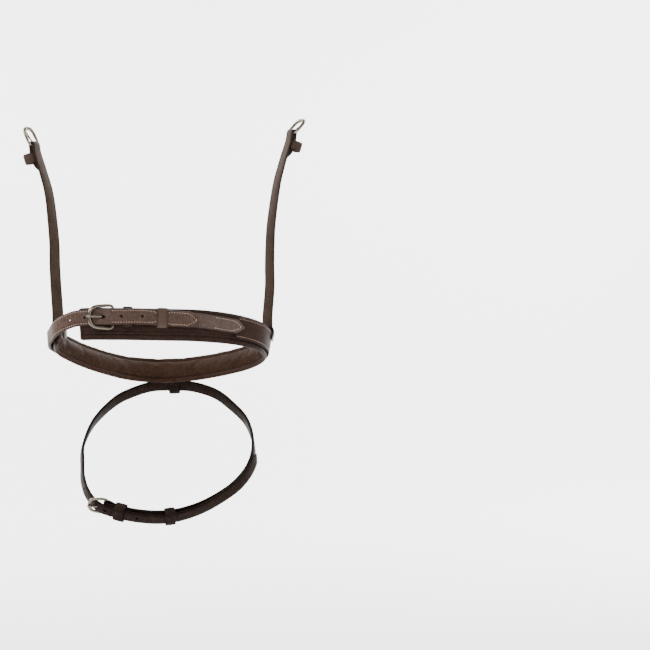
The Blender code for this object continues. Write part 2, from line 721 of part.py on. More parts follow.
def flash_strap(flash):
    """Long strap, folded round its buckle's bar, once round, through the buckle to a point."""
    bar = FLASH_BAR_S
    wrap = FLASH_BUCKLE["bar"] + 0.0003 + FLASH_THICKNESS / 2
    lap = bar + flash.length
    profile = [(bar + 0.0340, 0.0031), (bar + 0.0130, 0.0031)]
    profile += fold_knots(bar, FLASH_BAR_HEIGHT, wrap, -1)
    profile += [(bar + 0.0110, 0.0)]
    profile += [(s, 0.0) for s in (0.00, 0.10, 0.20, 0.30, 0.40, 0.50)]
    profile += [(lap - 0.0400, 0.0), (lap - 0.0280, 0.0006), (lap - 0.0180, 0.0032),
                (lap - 0.0100, 0.0064), (lap - 0.0040, 0.0076), (lap + 0.0020, 0.0078),
                (lap + 0.0140, 0.0070), (lap + 0.0400, 0.0068),
                (lap + 0.0800, 0.0064), (lap + 0.1100, 0.0048), (lap + 0.1450, 0.0031),
                (lap + FLASH_BILLET_LAP, 0.0031)]
    thing = strap("flash_strap", flash, profile, FLASH_WIDTH, FLASH_THICKNESS,
                  leather("flash_leather", 0.85), ends=("point", "point"), step=0.008)
    matrix = flash_bar_matrix(flash)
    cut(thing, slot_cutter("flash_prong_slot", matrix,
                           (-0.0052, -0.0018, -0.0048), (0.0046, 0.0018, 0.0043)))
    pitched = matrix @ pitch_outward(FLASH_BUCKLE_PITCH)
    hole = pitched @ Matrix.Translation((0.0098, 0.0, 0.0016))
    cut(thing, peg_cutter("flash_prong_hole", hole, 0.0020, tilt=math.radians(80.0)))
    for number, (s, height) in enumerate(((lap + 0.030, 0.0068), (lap - 0.050, 0.0),
                                          (lap - 0.070, 0.0), (lap - 0.090, 0.0))):
        punch = peg_cutter("flash_hole_%d" % (number + 1), flash.basis(s, height), 0.0017,
                           depth=0.0038)
        cut(thing, punch)
    move_origin(thing, RING_CENTRE + FLASH_TOP)
    return thing


def flash_buckle(flash):
    """Flash buckle frame and prong."""
    matrix = flash_bar_matrix(flash) @ pitch_outward(FLASH_BUCKLE_PITCH)
    shaft = ((0.0027, 0.0001), (0.0045, 0.0005), (0.0080, 0.0012), (0.0130, 0.0025),
             (0.0200, 0.0033), (0.0224, 0.0031))
    buckle_frame("flash_buckle_frame", matrix, FLASH_BUCKLE, steel("flash_frame_steel"))
    buckle_prong("flash_buckle_prong", matrix, FLASH_BUCKLE, shaft, 0.0010,
                 steel("flash_prong_steel"))


def flash_keepers(flash):
    """Fixed and running keepers round the flash strap's layers."""
    fixed = flash.basis(FLASH_FIXED_KEEPER_S)
    outline = rounded_outline(FLASH_WIDTH / 2 + 0.0014, -0.0030, 0.0106, 0.0022)
    closed_band("flash_fixed_keeper", fixed, outline, 0.0125, 0.0012,
                leather("flash_fixed_keeper_leather", 0.80))
    running = flash.basis(FLASH_RUNNING_KEEPER_S)
    outline = rounded_outline(FLASH_WIDTH / 2 + 0.0016, -0.0027, 0.0096, 0.0022)
    closed_band("flash_running_keeper", running, outline, 0.0115, 0.0012,
                leather("flash_running_keeper_leather", 0.80))


# ---------------------------------------------------------------- hangers
def hanger_tab(ring, side):
    """Sewn tab that saddles the padded band's top edge and carries a hanger."""
    hanger = HANGERS[side]
    centre = hanger["ring_s"]
    top = pad_half(ring)(centre % ring.length) + 0.0026
    inner = -0.0127
    outer = hanger["tab_outer"]
    outline = smooth_path(((top - 0.0140, outer), (top - 0.0020, outer), (top, outer - 0.0020),
                           (top, inner + 0.0020), (top - 0.0020, inner),
                           (top - 0.0160, inner)), step=0.0021)
    stations = centre + HANGER_TAB_WIDTH * np.array((-0.5, 0.0, 0.5))
    rows = [[ring.place(s, n, w)[0] for w, n in outline] for s in stations]
    thing = add_object("hanger_tab_" + side, grid_mesh("hanger_tab_" + side, np.array(rows)),
                       leather("hanger_tab_leather_" + side, 0.85))
    thicken(thing, 0.0014)
    return ease_edges(thing, 0.0003)


def hanger_bar_matrix(track):
    """Axes of a hanger buckle's fold: origin on its bar, X along the strap."""
    return track.basis(track.length, 0.00125, 0.0)


def hanger_strap(track, side):
    """Narrow cheek strap, folded outwards round its buckle's bar at the top."""
    top = track.length
    wrap = HANGER_BUCKLE["bar"] + 0.0003 + HANGER_THICKNESS / 2
    profile = [(0.0, 0.0), (0.3 * top, 0.0), (0.6 * top, 0.0), (top - 0.0300, 0.0),
               (top - 0.0100, 0.0)]
    profile += fold_knots(top, 0.00125, wrap, 1)[::-1]
    profile += [(top - 0.0085, 0.0055), (top - 0.0208, 0.0055), (top - 0.0290, 0.0031),
                (top - HANGER_TURN_BACK, 0.0028)]
    thing = strap("hanger_strap_" + side, track, profile, HANGER_WIDTH, HANGER_THICKNESS,
                  leather("hanger_leather_" + side, 1.0), ends=("square", "point"), step=0.008)
    cut(thing, slot_cutter("hanger_slot_" + side, hanger_bar_matrix(track),
                           (-0.0050, -0.0017, -0.0060), (0.0055, 0.0017, 0.0060)))
    move_origin(thing, track.place(0.0)[0])
    return thing


def hanger_buckle(track, side):
    """Hanger buckle frame and prong."""
    matrix = hanger_bar_matrix(track) @ pitch_outward(HANGERS[side]["pitch"])
    shaft = ((0.0027, 0.0002), (0.0050, 0.0012), (0.0090, 0.0021), (0.0170, 0.0032),
             (0.0195, 0.0029))
    buckle_frame("hanger_buckle_frame_" + side, matrix, HANGER_BUCKLE,
                 steel("hanger_frame_steel_" + side))
    buckle_prong("hanger_buckle_prong_" + side, matrix, HANGER_BUCKLE, shaft, 0.0010,
                 steel("hanger_prong_steel_" + side))


def hanger_keeper(track, side):
    """Standing keeper sewn between the layers below a hanger buckle, open for another strap."""
    matrix = track.basis(track.length - HANGER_KEEPER_BELOW_BAR)
    outline = rounded_outline(HANGER_WIDTH / 2 + 0.0016, 0.0030, 0.0165, 0.0030)
    return closed_band("hanger_keeper_" + side, matrix, outline, 0.0115, 0.0013,
                       leather("hanger_keeper_leather_" + side, 0.90))


# ---------------------------------------------------------------- assembly
def build():
    """Make every piece of the noseband."""
    clear_scene()
    ring = ring_track()
    nose_band(ring)
    nose_padding(ring)
    nose_lining(ring)
    nose_overlay(ring)
    billet_strap(ring)
    chape_strap(ring)
    jaw_buckle(ring)
    jaw_keepers(ring)
    flash = flash_track()
    flash_loop(ring)
    flash_strap(flash)
    flash_buckle(flash)
    flash_keepers(flash)
    for side in HANGERS:
        track = hanger_track(ring, side)
        hanger_tab(ring, side)
        hanger_strap(track, side)
        hanger_buckle(track, side)
        hanger_keeper(track, side)


build()
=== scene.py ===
import math

import bmesh
import bpy
import numpy as np
from mathutils import Matrix, Vector


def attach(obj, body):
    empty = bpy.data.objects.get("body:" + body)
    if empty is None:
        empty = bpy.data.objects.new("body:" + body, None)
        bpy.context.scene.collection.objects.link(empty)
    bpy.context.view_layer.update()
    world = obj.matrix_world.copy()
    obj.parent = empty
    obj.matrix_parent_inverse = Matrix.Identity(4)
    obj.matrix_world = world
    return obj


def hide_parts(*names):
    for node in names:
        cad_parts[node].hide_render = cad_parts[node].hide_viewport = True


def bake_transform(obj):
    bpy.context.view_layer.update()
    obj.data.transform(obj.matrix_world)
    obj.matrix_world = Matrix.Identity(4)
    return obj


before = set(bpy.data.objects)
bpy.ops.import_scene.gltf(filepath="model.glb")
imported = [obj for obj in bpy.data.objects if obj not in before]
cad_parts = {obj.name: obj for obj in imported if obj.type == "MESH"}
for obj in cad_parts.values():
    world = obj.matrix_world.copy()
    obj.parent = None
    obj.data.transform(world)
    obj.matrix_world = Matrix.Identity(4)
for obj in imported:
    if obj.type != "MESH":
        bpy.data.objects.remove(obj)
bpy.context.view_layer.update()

# Looks of a padded flash noseband: leather straps with creased edges and saddle stitching,
# a soft padded lining and polished buckles.  Metres, +Z up, +Y from the jaw towards the nose.
# Straps follow tracks, read as (distance along, height above the track, offset across).

# ---------------------------------------------------------------- noseband ring
RING_CENTRE = np.array((0.0, 0.020, -0.250))
RING_TILT = math.radians(19.0)
JAW_LEAN = math.radians(-4.0)
NOSE_LEAN = math.radians(30.0)
JAW_Y = -0.0855
NOSE_Y = 0.0840
RING_PLAN = (
    (0.0000, -0.0855), (0.0450, -0.0815), (0.0880, -0.0660), (0.1160, -0.0410),
    (0.1240, -0.0090), (0.1120, 0.0225), (0.0800, 0.0530), (0.0400, 0.0760),
    (-0.0020, 0.0840), (-0.0450, 0.0720), (-0.0850, 0.0350), (-0.1110, -0.0030),
    (-0.1235, -0.0345), (-0.1165, -0.0675), (-0.0940, -0.0855), (-0.0500, -0.0880),
)
PAD_START = -0.092
PAD_END_GAP = 0.138
PAD_HALF_HEIGHT = 0.018
OVERLAY_START = 0.084
OVERLAY_END_GAP = 0.190
OVERLAY_WIDTH = 0.0240
OVERLAY_RAISE = 0.0027
BILLET_WIDTH = 0.0180
BILLET_THICKNESS = 0.0030
BILLET_HOLES = (                    # (distance along the ring, radius)
    (-0.1165, 0.0013), (-0.1010, 0.0013), (-0.0850, 0.0013), (-0.0452, 0.0017),
    (-0.0230, 0.0017),
)
BILLET_PUNCH_DEPTH = 0.012
PRONG_HOLE_S = -0.0662
PRONG_HOLE_RADIUS = 0.0021
PRONG_HOLE_STRETCH = 2.2
CHAPE_WIDTH = 0.0165
CHAPE_THICKNESS = 0.0018
JAW_BAR_S = -0.0547
JAW_BAR_HEIGHT = 0.0039
JAW_FIXED_KEEPER_S = -0.0386
JAW_RUNNING_KEEPER_S = -0.0007

# ---------------------------------------------------------------- padded lining
LINING_THICKNESS = 0.0009
LINING_SEAM_INSET = 0.0050
LINING_SEAM_COLUMNS = (4, 16)       # columns of the lining's section that are seams
SWELL_STEPS = 20
SWELL_PRESSURE = 600.0
SWELL_SHRINK = -0.018
SWELL_DEPTH = (-0.0004, 0.0013)     # least and most movement towards the wearer
SWELL_REACH = 0.0015                # most movement in any direction
FOLD_BEND_START = 11.0              # bend where folds begin, radians per metre
FOLD_BEND_RANGE = 10.0
FOLD_DEPTH = 0.00075

# ---------------------------------------------------------------- flash strap
FLASH_TOP = np.array((0.0130, 0.0879, -0.0465))
FLASH_SLOPE = math.radians(48.0)
FLASH_LEAN = (                      # (share of the way round, lean in degrees)
    (0.00, -3.0), (0.05, -6.0), (0.15, -26.0), (0.21, -22.0), (0.27, -5.0), (0.38, 16.0),
    (0.49, 22.0), (0.60, 12.0), (0.71, -10.0), (0.84, -15.0), (0.95, -5.0), (1.00, -3.0),
)
FLASH_PLAN = (
    (-0.010, 0.2075), (0.023, 0.1990), (0.050, 0.1835), (0.0745, 0.1615), (0.0915, 0.1300),
    (0.095, 0.0960), (0.088, 0.0620), (0.0725, 0.0370), (0.0525, 0.0150), (0.0235, 0.0018),
    (-0.001, 0.0000), (-0.026, 0.0015), (-0.051, 0.0125), (-0.0690, 0.0255), (-0.0945, 0.0620),
    (-0.106, 0.1030), (-0.1055, 0.1270), (-0.1035, 0.1550), (-0.0950, 0.1780),
    (-0.073, 0.1935), (-0.043, 0.2045),
)
FLASH_WIDTH = 0.0140
FLASH_THICKNESS = 0.0026
FLASH_BAR_S = -0.0670
FLASH_BAR_HEIGHT = 0.00145
FLASH_FIXED_KEEPER_S = -0.0500
FLASH_RUNNING_KEEPER_S = 0.0050
FLASH_BILLET_LAP = 0.2150

# ---------------------------------------------------------------- hangers
HANGER_WIDTH = 0.0127
HANGER_THICKNESS = 0.0022
HANGER_TAB_WIDTH = 0.0135
HANGER_TURN_BACK = 0.033
HANGER_KEEPER_BELOW_BAR = 0.0140
HANGERS = {
    "left": {
        "ring_s": -0.1640,
        "tab_outer": 0.0016,
        "run": ((-0.1206, -0.036, 0.0735), (-0.1218, -0.036, 0.0975), (-0.1222, -0.036, 0.1203),
                (-0.1241, -0.036, 0.1442), (-0.1285, -0.036, 0.1796), (-0.1355, -0.036, 0.2057),
                (-0.1440, -0.036, 0.2350)),
        "foot_out": (-0.12, 0.99, 0.0),
        "low_out": (-0.50, 0.87, 0.0),
        "top_out": (-0.88, 0.47, 0.0),
        "pitch": math.radians(8.0),
    },
    "right": {
        "ring_s": 0.1540,
        "tab_outer": 0.0034,
        "run": ((0.1258, -0.013, 0.0750), (0.1256, -0.013, 0.0990), (0.1261, -0.013, 0.1234),
                (0.1275, -0.013, 0.1482), (0.1344, -0.013, 0.1967), (0.1391, -0.013, 0.2156),
                (0.1510, -0.013, 0.2570)),
        "foot_out": (0.42, 0.91, 0.0),
        "low_out": (0.62, 0.78, 0.0),
        "top_out": (0.90, 0.43, 0.0),
        "pitch": math.radians(26.0),
    },
}
JAW_BUCKLE = {"bar": 0.0015, "side": 0.0019, "end": 0.0024, "half": 0.0121, "length": 0.0255,
              "rise": 0.0021}
FLASH_BUCKLE = {"bar": 0.0013, "side": 0.0017, "end": 0.0021, "half": 0.0095, "length": 0.0200,
                "rise": 0.0}
FLASH_BUCKLE_PITCH = math.radians(22.0)
HANGER_BUCKLE = {"bar": 0.0013, "side": 0.0019, "end": 0.0023, "half": 0.0088, "length": 0.0200,
                 "rise": 0.0}

# ---------------------------------------------------------------- camera
CAMERA_PLACE = (0.0, -1.58, -0.221)
CAMERA_YAW = math.radians(-6.88)
CAMERA_LENS = 74.65

STITCH_PITCH = 0.0028
random = np.random.default_rng(7)


# ---------------------------------------------------------------- paths and tracks
def smooth_path(knots, closed=False, step=0.0005):
    """Points evenly spaced on a smooth curve through the knots."""
    knots = np.array(knots, dtype=float)
    if closed:
        knots = np.vstack([knots[-1], knots, knots[0], knots[1]])
    else:
        knots = np.vstack([2 * knots[0] - knots[1], knots, 2 * knots[-1] - knots[-2]])
    curve = [knots[1]]
    for a, b, c, d in zip(knots[:-3], knots[1:-2], knots[2:-1], knots[3:]):
        t1 = math.sqrt(np.linalg.norm(b - a))
        t2 = t1 + math.sqrt(np.linalg.norm(c - b))
        t3 = t2 + math.sqrt(np.linalg.norm(d - c))
        for t in np.linspace(t1, t2, 25)[1:]:
            ab = a * (t1 - t) / t1 + b * t / t1
            bc = b * (t2 - t) / (t2 - t1) + c * (t - t1) / (t2 - t1)
            cd = c * (t3 - t) / (t3 - t2) + d * (t - t2) / (t3 - t2)
            abc = ab * (t2 - t) / t2 + bc * t / t2
            bcd = bc * (t3 - t) / (t3 - t1) + cd * (t - t1) / (t3 - t1)
            curve.append(abc * (t2 - t) / (t2 - t1) + bcd * (t - t1) / (t2 - t1))
    return even_points(np.array(curve), step)


def running_length(points):
    """Distance from the start at each point of a polyline."""
    gaps = np.linalg.norm(np.diff(points, axis=0), axis=1)
    return np.concatenate([[0.0], np.cumsum(gaps)])


def even_points(curve, step):
    """A polyline read again at an even spacing close to step."""
    along = running_length(curve)
    count = max(2, int(round(along[-1] / step)) + 1)
    return read_table(along, curve, np.linspace(0.0, along[-1], count))


def read_table(along, table, wanted):
    """Rows of a table read between its own rows at the wanted distances."""
    return np.stack([np.interp(wanted, along, column) for column in table.T], axis=1)


def unit(vectors):
    """Vectors scaled to length one."""
    vectors = np.asarray(vectors, dtype=float)
    return vectors / np.linalg.norm(vectors, axis=-1, keepdims=True)


def travel_along(points, closed):
    """Travel direction at each point of a path; a closed path repeats its first point."""
    if closed:
        ring = np.vstack([points[-2], points, points[1]])
        return unit(ring[2:] - ring[:-2])
    return unit(np.gradient(points, axis=0))


def axes_matrix(x_axis, y_axis, z_axis, origin):
    """Matrix with the given axes and origin."""
    matrix = Matrix.Identity(4)
    for row, values in enumerate(zip(x_axis, y_axis, z_axis, origin)):
        matrix[row] = [float(value) for value in values]
    return matrix


class Track:
    """A path with travel, width and outward directions, read by distance along it."""

    def __init__(self, points, outward, closed):
        self.points = points
        self.closed = closed
        self.along = running_length(points)
        self.length = self.along[-1]
        self.travel = travel_along(points, closed)
        hints = outward(points, self.travel, self.along / self.length)
        self.width = unit(np.cross(hints, self.travel))
        self.out = np.cross(self.travel, self.width)

    def frame(self, s):
        """Position, travel, width and outward directions at distances s."""
        s = np.atleast_1d(np.asarray(s, dtype=float))
        inside = np.mod(s, self.length) if self.closed else np.clip(s, 0.0, self.length)
        position, travel, width, out = (
            read_table(self.along, table, inside)
            for table in (self.points, self.travel, self.width, self.out))
        if not self.closed:
            position = position + unit(travel) * (s - inside)[:, None]
        return position, unit(travel), unit(width), unit(out)

    def place(self, s, height=0.0, across=0.0):
        """World points at distances s, heights above the track and offsets across it."""
        position, _, width, out = self.frame(s)
        height = np.broadcast_to(height, len(position))[:, None]
        across = np.broadcast_to(across, len(position))[:, None]
        return position + out * height + width * across

    def basis(self, s, height=0.0, across=0.0, forward=1):
        """Matrix whose X runs forward along the track, Y across it and Z outward."""
        _, travel, width, out = (table[0] for table in self.frame(s))
        origin = self.place(s, height, across)[0]
        return axes_matrix(travel * forward, width * forward, out, origin)


def ring_track():
    """The padded band's outer face, from the middle of the jaw round the right side."""
    plan = smooth_path(RING_PLAN, closed=True)
    height = -math.tan(RING_TILT) * plan[:, 1]
    points = np.column_stack([plan, height]) + RING_CENTRE

    def outward(at, travel, _):
        level = unit(np.cross(travel, (0.0, 0.0, 1.0)))
        share = (at[:, 1] - RING_CENTRE[1] - JAW_Y) / (NOSE_Y - JAW_Y)
        lean = (JAW_LEAN + (NOSE_LEAN - JAW_LEAN) * share)[:, None]
        return level * np.cos(lean) - np.array((0.0, 0.0, 1.0)) * np.sin(lean)

    return Track(points, outward, closed=True)


def flash_track():
    """The flash strap's middle, from its lowest point round the right side."""
    down = np.array((0.0, -math.sin(FLASH_SLOPE), -math.cos(FLASH_SLOPE)))
    face = np.array((0.0, -math.cos(FLASH_SLOPE), math.sin(FLASH_SLOPE)))
    plan = smooth_path(FLASH_PLAN, closed=True)
    start = RING_CENTRE + FLASH_TOP
    points = start + plan[:, :1] * np.array((1.0, 0.0, 0.0)) + plan[:, 1:] * down

    def outward(_, travel, share):
        level = unit(np.cross(travel, face))
        lean = np.radians(np.interp(share, *zip(*FLASH_LEAN)))[:, None]
        return level * np.cos(lean) - face * np.sin(lean)

    return Track(points, outward, closed=True)


def hanger_track(side):
    """A hanger's main layer, from just above its tab up to its buckle's bar."""
    hanger = HANGERS[side]
    foot_across = pad_half(hanger["ring_s"] % RING.length) + 0.0072
    foot = RING.place(hanger["ring_s"], -0.0050, foot_across)[0]
    run = [foot, foot + np.array((0.0, 0.0, 0.010))]
    run += [np.array(knot) + RING_CENTRE for knot in hanger["run"]]
    points = smooth_path(run)
    directions = np.array((hanger["foot_out"], hanger["low_out"], hanger["top_out"]))

    def outward(_, __, share):
        return np.stack([np.interp(share, (0.05, 0.50, 1.0), column)
                         for column in directions.T], axis=1)

    return Track(points, outward, closed=False)


def pad_half(s):
    """Half height of the padded band at a distance round the ring."""
    turn = RING.length
    stations = (0.050, 0.110, 0.200, 0.330, turn - 0.250, turn - 0.180, turn - PAD_END_GAP)
    halves = (PAD_HALF_HEIGHT, 0.0168, 0.0160, 0.0166, 0.0158, 0.0148, 0.0128)
    return np.interp(s, stations, halves)


def jaw_across(s):
    """Sideways run of the jaw straps across the padded band."""
    stations = (-0.175, -0.145, -0.120, -0.095, -0.020, 0.085)
    return np.interp(s, stations, (0.0, -0.0010, 0.0025, 0.0065, 0.0080, 0.0033))


def overlay_across(s):
    """The overlay sits a little high on the right and comes level at the nose."""
    return np.interp(s, (0.10, 0.24), (OVERLAY_RAISE, 0.0))


# ---------------------------------------------------------------- strips of leather
class Strip:
    """A ribbon of leather: points with travel, width and grain-side directions."""

    def __init__(self, points, width, closed=False):
        self.points = points
        self.closed = closed
        self.run = running_length(points)
        self.length = self.run[-1]
        travel = travel_along(points, closed)
        self.normal = unit(np.cross(travel, width))
        self.travel = travel
        self.width = unit(np.cross(self.normal, travel))
        self.half = lambda stop: 0.006
        self.body = lambda stop: 1.0
        self.thickness = 0.002

    def read(self, stops):
        """Points, travel, width and grain directions at distances along the strip."""
        stops = np.atleast_1d(np.asarray(stops, dtype=float))
        tables = (self.points, self.travel, self.width, self.normal)
        points, travel, width, normal = (read_table(self.run, t, stops) for t in tables)
        return points, unit(travel), unit(width), unit(normal)

    def surface(self, stops, offsets, lift=0.0):
        """Points on the grain side, and the directions away from it."""
        points, _, width, normal = self.read(stops)
        height = self.thickness / 2 + lift
        offsets = np.broadcast_to(offsets, len(points))[:, None]
        return points + width * offsets + normal * height, normal


def end_share(distance, half_width, shape):
    """Share of the full half width left at a distance from a strip's end."""
    if shape == "point":
        reach = min(1.0, max(0.0, distance / (half_width * 1.45)))
        return max(0.05, 1.0 - (1.0 - reach) ** 1.45)
    if shape == "round":
        reach = min(1.0, max(0.0, distance / half_width))
        return max(0.12, math.sqrt(1.0 - (1.0 - reach) ** 2))
    if shape == "corner":
        reach = min(1.0, max(0.0, distance / 0.004))
        return 0.80 + 0.20 * math.sqrt(1.0 - (1.0 - reach) ** 2)
    return 1.0


def strap_strip(track, profile, width, thickness, ends=("square", "square"), across=0.0):
    """A strip that follows a track through (distance, height) knots."""
    path = smooth_path(profile, step=0.0004)
    side = across(path[:, 0]) if callable(across) else across
    strip = Strip(track.place(path[:, 0], path[:, 1], side), track.frame(path[:, 0])[2])
    strip.thickness = thickness
    strip.distance = path[:, 0]
    strip.distance_at = lambda stop: float(np.interp(stop, strip.run, path[:, 0]))

    def half(stop):
        full = 0.5 * width
        return full * min(end_share(stop, full, ends[0]),
                          end_share(strip.length - stop, full, ends[1]))

    strip.half = half
    strip.full_half = 0.5 * width
    strip.ends = ends
    return strip


def local_strip(matrix, outline, length, thickness, closed=True):
    """A strip bent round an (across, outward) outline and made length wide along X."""
    local = np.array([(0.0, y, z) for y, z in outline])
    if closed:
        local = np.vstack([local, local[:1]])
    local = even_points(local, 0.0004)
    turn = np.array(matrix.to_3x3())
    points = local @ turn.T + np.array(matrix.translation)
    strip = Strip(points, np.broadcast_to(turn[:, 0], points.shape), closed)
    strip.thickness = thickness
    strip.half = lambda stop: length / 2
    strip.full_half = length / 2
    strip.ends = ("square", "square")
    return strip


def rounded_outline(half, low, high, corner, bow=0.0, steps=8):
    """A rounded rectangle in (across, outward) whose outer side may bow out a little."""
    outline = []
    centres = ((half - corner, high - corner, 0), (-half + corner, high - corner, 90),
               (-half + corner, low + corner, 180), (half - corner, low + corner, 270))
    for y, z, start in centres:
        for k in range(steps + 1):
            angle = math.radians(start + 90.0 * k / steps)
            outline.append((y + corner * math.cos(angle), z + corner * math.sin(angle)))
        if start == 0:
            for y_mid in np.linspace(half - corner, -half + corner, 7)[1:-1]:
                outline.append((y_mid, high))
    return [(y, z + bow * (1.0 - (y / half) ** 2) * max(0.0, (z - low) / (high - low)))
            for y, z in outline]


def strip_stops(strip, step, bend=0.16):
    """Distances of a strip's cross-sections: closer where it bends and near shaped ends."""
    travel = strip.travel
    turning = np.arccos(np.clip(np.sum(travel[1:] * travel[:-1], axis=1), -1.0, 1.0))
    weight = np.concatenate([[0.0], np.cumsum(np.diff(strip.run) / step + turning / bend)])
    count = int(math.ceil(weight[-1]))
    stops = np.interp(np.linspace(0.0, weight[-1], count + 1), weight, strip.run)
    if strip.closed:
        return stops
    near = np.array((0.00025, 0.0006, 0.0011, 0.0018, 0.0027, 0.0038, 0.0050, 0.0064, 0.0080))
    stops = np.concatenate([stops, near, strip.length - near])
    stops = np.unique(np.round(np.clip(stops, 0.0, strip.length), 6))
    return stops[np.concatenate([[True], np.diff(stops) > 0.0002])]


def strip_section(half, full, thickness, style):
    """Offsets, heights, rim and groove values once round a strip's cross-section."""
    share = half / full
    t = thickness / 2
    inset = style["inset"] * share
    groove = style["groove"]
    deep = style["depth"] * share
    crown = style["crown"] * share
    # The fourth column is the groove value, which the leather look darkens as painted shade along the
    # creased lines.
    front = [(0.0, 0.0, 1.0, 0.0), (0.10 * t, 0.45 * t, 1.0, 0.0), (0.38 * t, 0.82 * t, 0.8, 0.0),
             (0.90 * t, t, 0.35, 0.0), (inset - groove, t, 0.1, 0.0),
             (inset - 0.4 * groove, t - 0.6 * deep, 0.0, 0.7), (inset, t - deep, 0.0, 1.0),
             (inset + 0.4 * groove, t - 0.6 * deep, 0.0, 0.7), (inset + groove, t, 0.0, 0.0)]
    front = [(min(d * (share if d < inset - groove else 1.0), half), h, r, g)
             for d, h, r, g in front]
    last = front[-1][0]
    middle = [last + (half - last) * f for f in (0.35, 0.70)]
    side = [(-half + d, h, r, g) for d, h, r, g in front]
    side += [(-half + d, t, 0.0, 0.0) for d in middle]
    top = side + [(0.0, t, 0.0, 0.0)] + [(-u, h, r, g) for u, h, r, g in reversed(side)]
    top = [(u, h + crown * (1.0 - (u / half) ** 2) * (h > 0), r, g) for u, h, r, g in top]
    # The back crease gets style["under"] of that painted shade.
    under_depth = style["under"] * deep
    back = [(0.40 * t, -0.82 * t, 0.8, 0.0), (1.0 * t, -t, 0.3, 0.0),
            (inset, -t + under_depth, 0.0, style["under"]), (inset + groove, -t, 0.0, 0.0)]
    back = [(half - min(d * share, half), h, r, g) for d, h, r, g in back]
    under = back + [(0.0, -t, 0.0, 0.0)] + [(-u, h, r, g) for u, h, r, g in reversed(back)]
    return np.array(top + under)


STYLE = {"inset": 0.0016, "groove": 0.00045, "depth": 0.00022, "crown": 0.00020, "under": 0.0}


def strip_rows(strip, step, style):
    """Cross-sections of a strip in world space, with their along, across, rim, groove values."""
    stops = strip_stops(strip, step)
    points, _, width, normal = strip.read(stops)
    rows, marks = [], []
    for stop, p, w, n in zip(stops, points, width, normal):
        half = strip.half(stop)
        section = strip_section(half, strip.full_half, strip.thickness * strip.body(stop), style)
        if not strip.closed:
            to_end = max(0.0, min(stop, strip.length - stop))
            section[:, 1] *= 0.55 + 0.45 * min(1.0, math.sqrt(to_end / 0.0006))
        rows.append(p + np.outer(section[:, 0], w) + np.outer(section[:, 1], n))
        marks.append(np.column_stack([np.full(len(section), stop), section[:, 0],
                                      section[:, 2], section[:, 3]]))
    return np.array(rows), np.array(marks)


# ---------------------------------------------------------------- mesh makers
def loft(name, rows, marks=None, closed=False, caps=True, wrap=True):
    """A skin over rows of points; wrap joins each row's ends, closed joins last row to first."""
    if closed:
        rows = rows[:-1]
        marks = None if marks is None else marks[:-1]
    count, size = rows.shape[:2]
    faces = []
    for i in range(count if closed else count - 1):
        j = (i + 1) % count
        for k in range(size if wrap else size - 1):
            m = (k + 1) % size
            faces.append((i * size + k, j * size + k, j * size + m, i * size + m))
    if caps and not closed:
        faces.append(tuple(range(size)))
        faces.append(tuple(reversed(range((count - 1) * size, count * size))))
    mesh = bpy.data.meshes.new(name)
    mesh.from_pydata(rows.reshape(-1, 3).tolist(), [], faces)
    if marks is not None:
        for channel, label in enumerate(("along", "across", "rim", "groove")):
            layer = mesh.attributes.new(label, "FLOAT", "POINT")
            layer.data.foreach_set("value", marks[:, :, channel].astype(np.float32).ravel())
    tidy_mesh(mesh)
    return mesh


def tidy_mesh(mesh):
    """Make every face point outward and shade the surface smoothly."""
    work = bmesh.new()
    work.from_mesh(mesh)
    bmesh.ops.recalc_face_normals(work, faces=work.faces)
    work.to_mesh(mesh)
    work.free()
    shade_smooth(mesh)


def shade_smooth(mesh):
    """Shade every face of a mesh smoothly."""
    for face in mesh.polygons:
        face.use_smooth = True


def put_object(name, data):
    """A new object in the scene that holds a mesh, light or camera."""
    thing = bpy.data.objects.new(name, data)
    bpy.context.scene.collection.objects.link(thing)
    return thing


def add_piece(name, mesh, material, body, slot, *replaced):
    """Put a finished mesh into the scene, riding on its body if one is given."""
    thing = put_object(name, mesh)
    mesh.materials.clear()
    mesh.materials.append(material)
    if body is not None:
        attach(thing, body)
    if replaced:
        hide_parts(*replaced)
    return thing


def evaluated(thing):
    """A new mesh holding an object's surface with its modifiers."""
    bpy.context.view_layer.update()
    graph = bpy.context.evaluated_depsgraph_get()
    return bpy.data.meshes.new_from_object(thing.evaluated_get(graph))


def punched(mesh, punches):
    """The mesh with round holes cut along each (matrix, radius, depth, stretch)."""
    work = bmesh.new()
    for matrix, radius, depth, stretch in punches:
        shape = matrix @ Matrix.Diagonal((stretch, 1.0, 1.0, 1.0))
        bmesh.ops.create_cone(work, cap_ends=True, segments=20, radius1=radius, radius2=radius,
                              depth=depth, matrix=shape)
    cutter_mesh = bpy.data.meshes.new("punches")
    work.to_mesh(cutter_mesh)
    work.free()
    cutter = put_object("punches", cutter_mesh)
    thing = put_object("punched", mesh)
    boolean = thing.modifiers.new("holes", "BOOLEAN")
    boolean.operation = "DIFFERENCE"
    boolean.solver = "EXACT"
    boolean.object = cutter
    result = evaluated(thing)
    bpy.data.objects.remove(thing, do_unlink=True)
    bpy.data.objects.remove(cutter, do_unlink=True)
    result.validate()
    shade_smooth(result)
    result.set_sharp_from_angle(angle=math.radians(50.0))
    return result


def strip_mesh(name, strip, step=0.0022, style=STYLE):
    """The closed leather solid of a strip."""
    rows, marks = strip_rows(strip, step, style)
    return loft(name, rows, marks, closed=strip.closed)


# ---------------------------------------------------------------- stitching
def stitch_route(strip, knots, lift=0.0):
    """Even points and directions on a strip's grain side through (distance, offset) knots."""
    knots = np.array(knots, dtype=float)
    dense = even_points(knots, 0.0004)
    return strip.surface(dense[:, 0], dense[:, 1], lift)


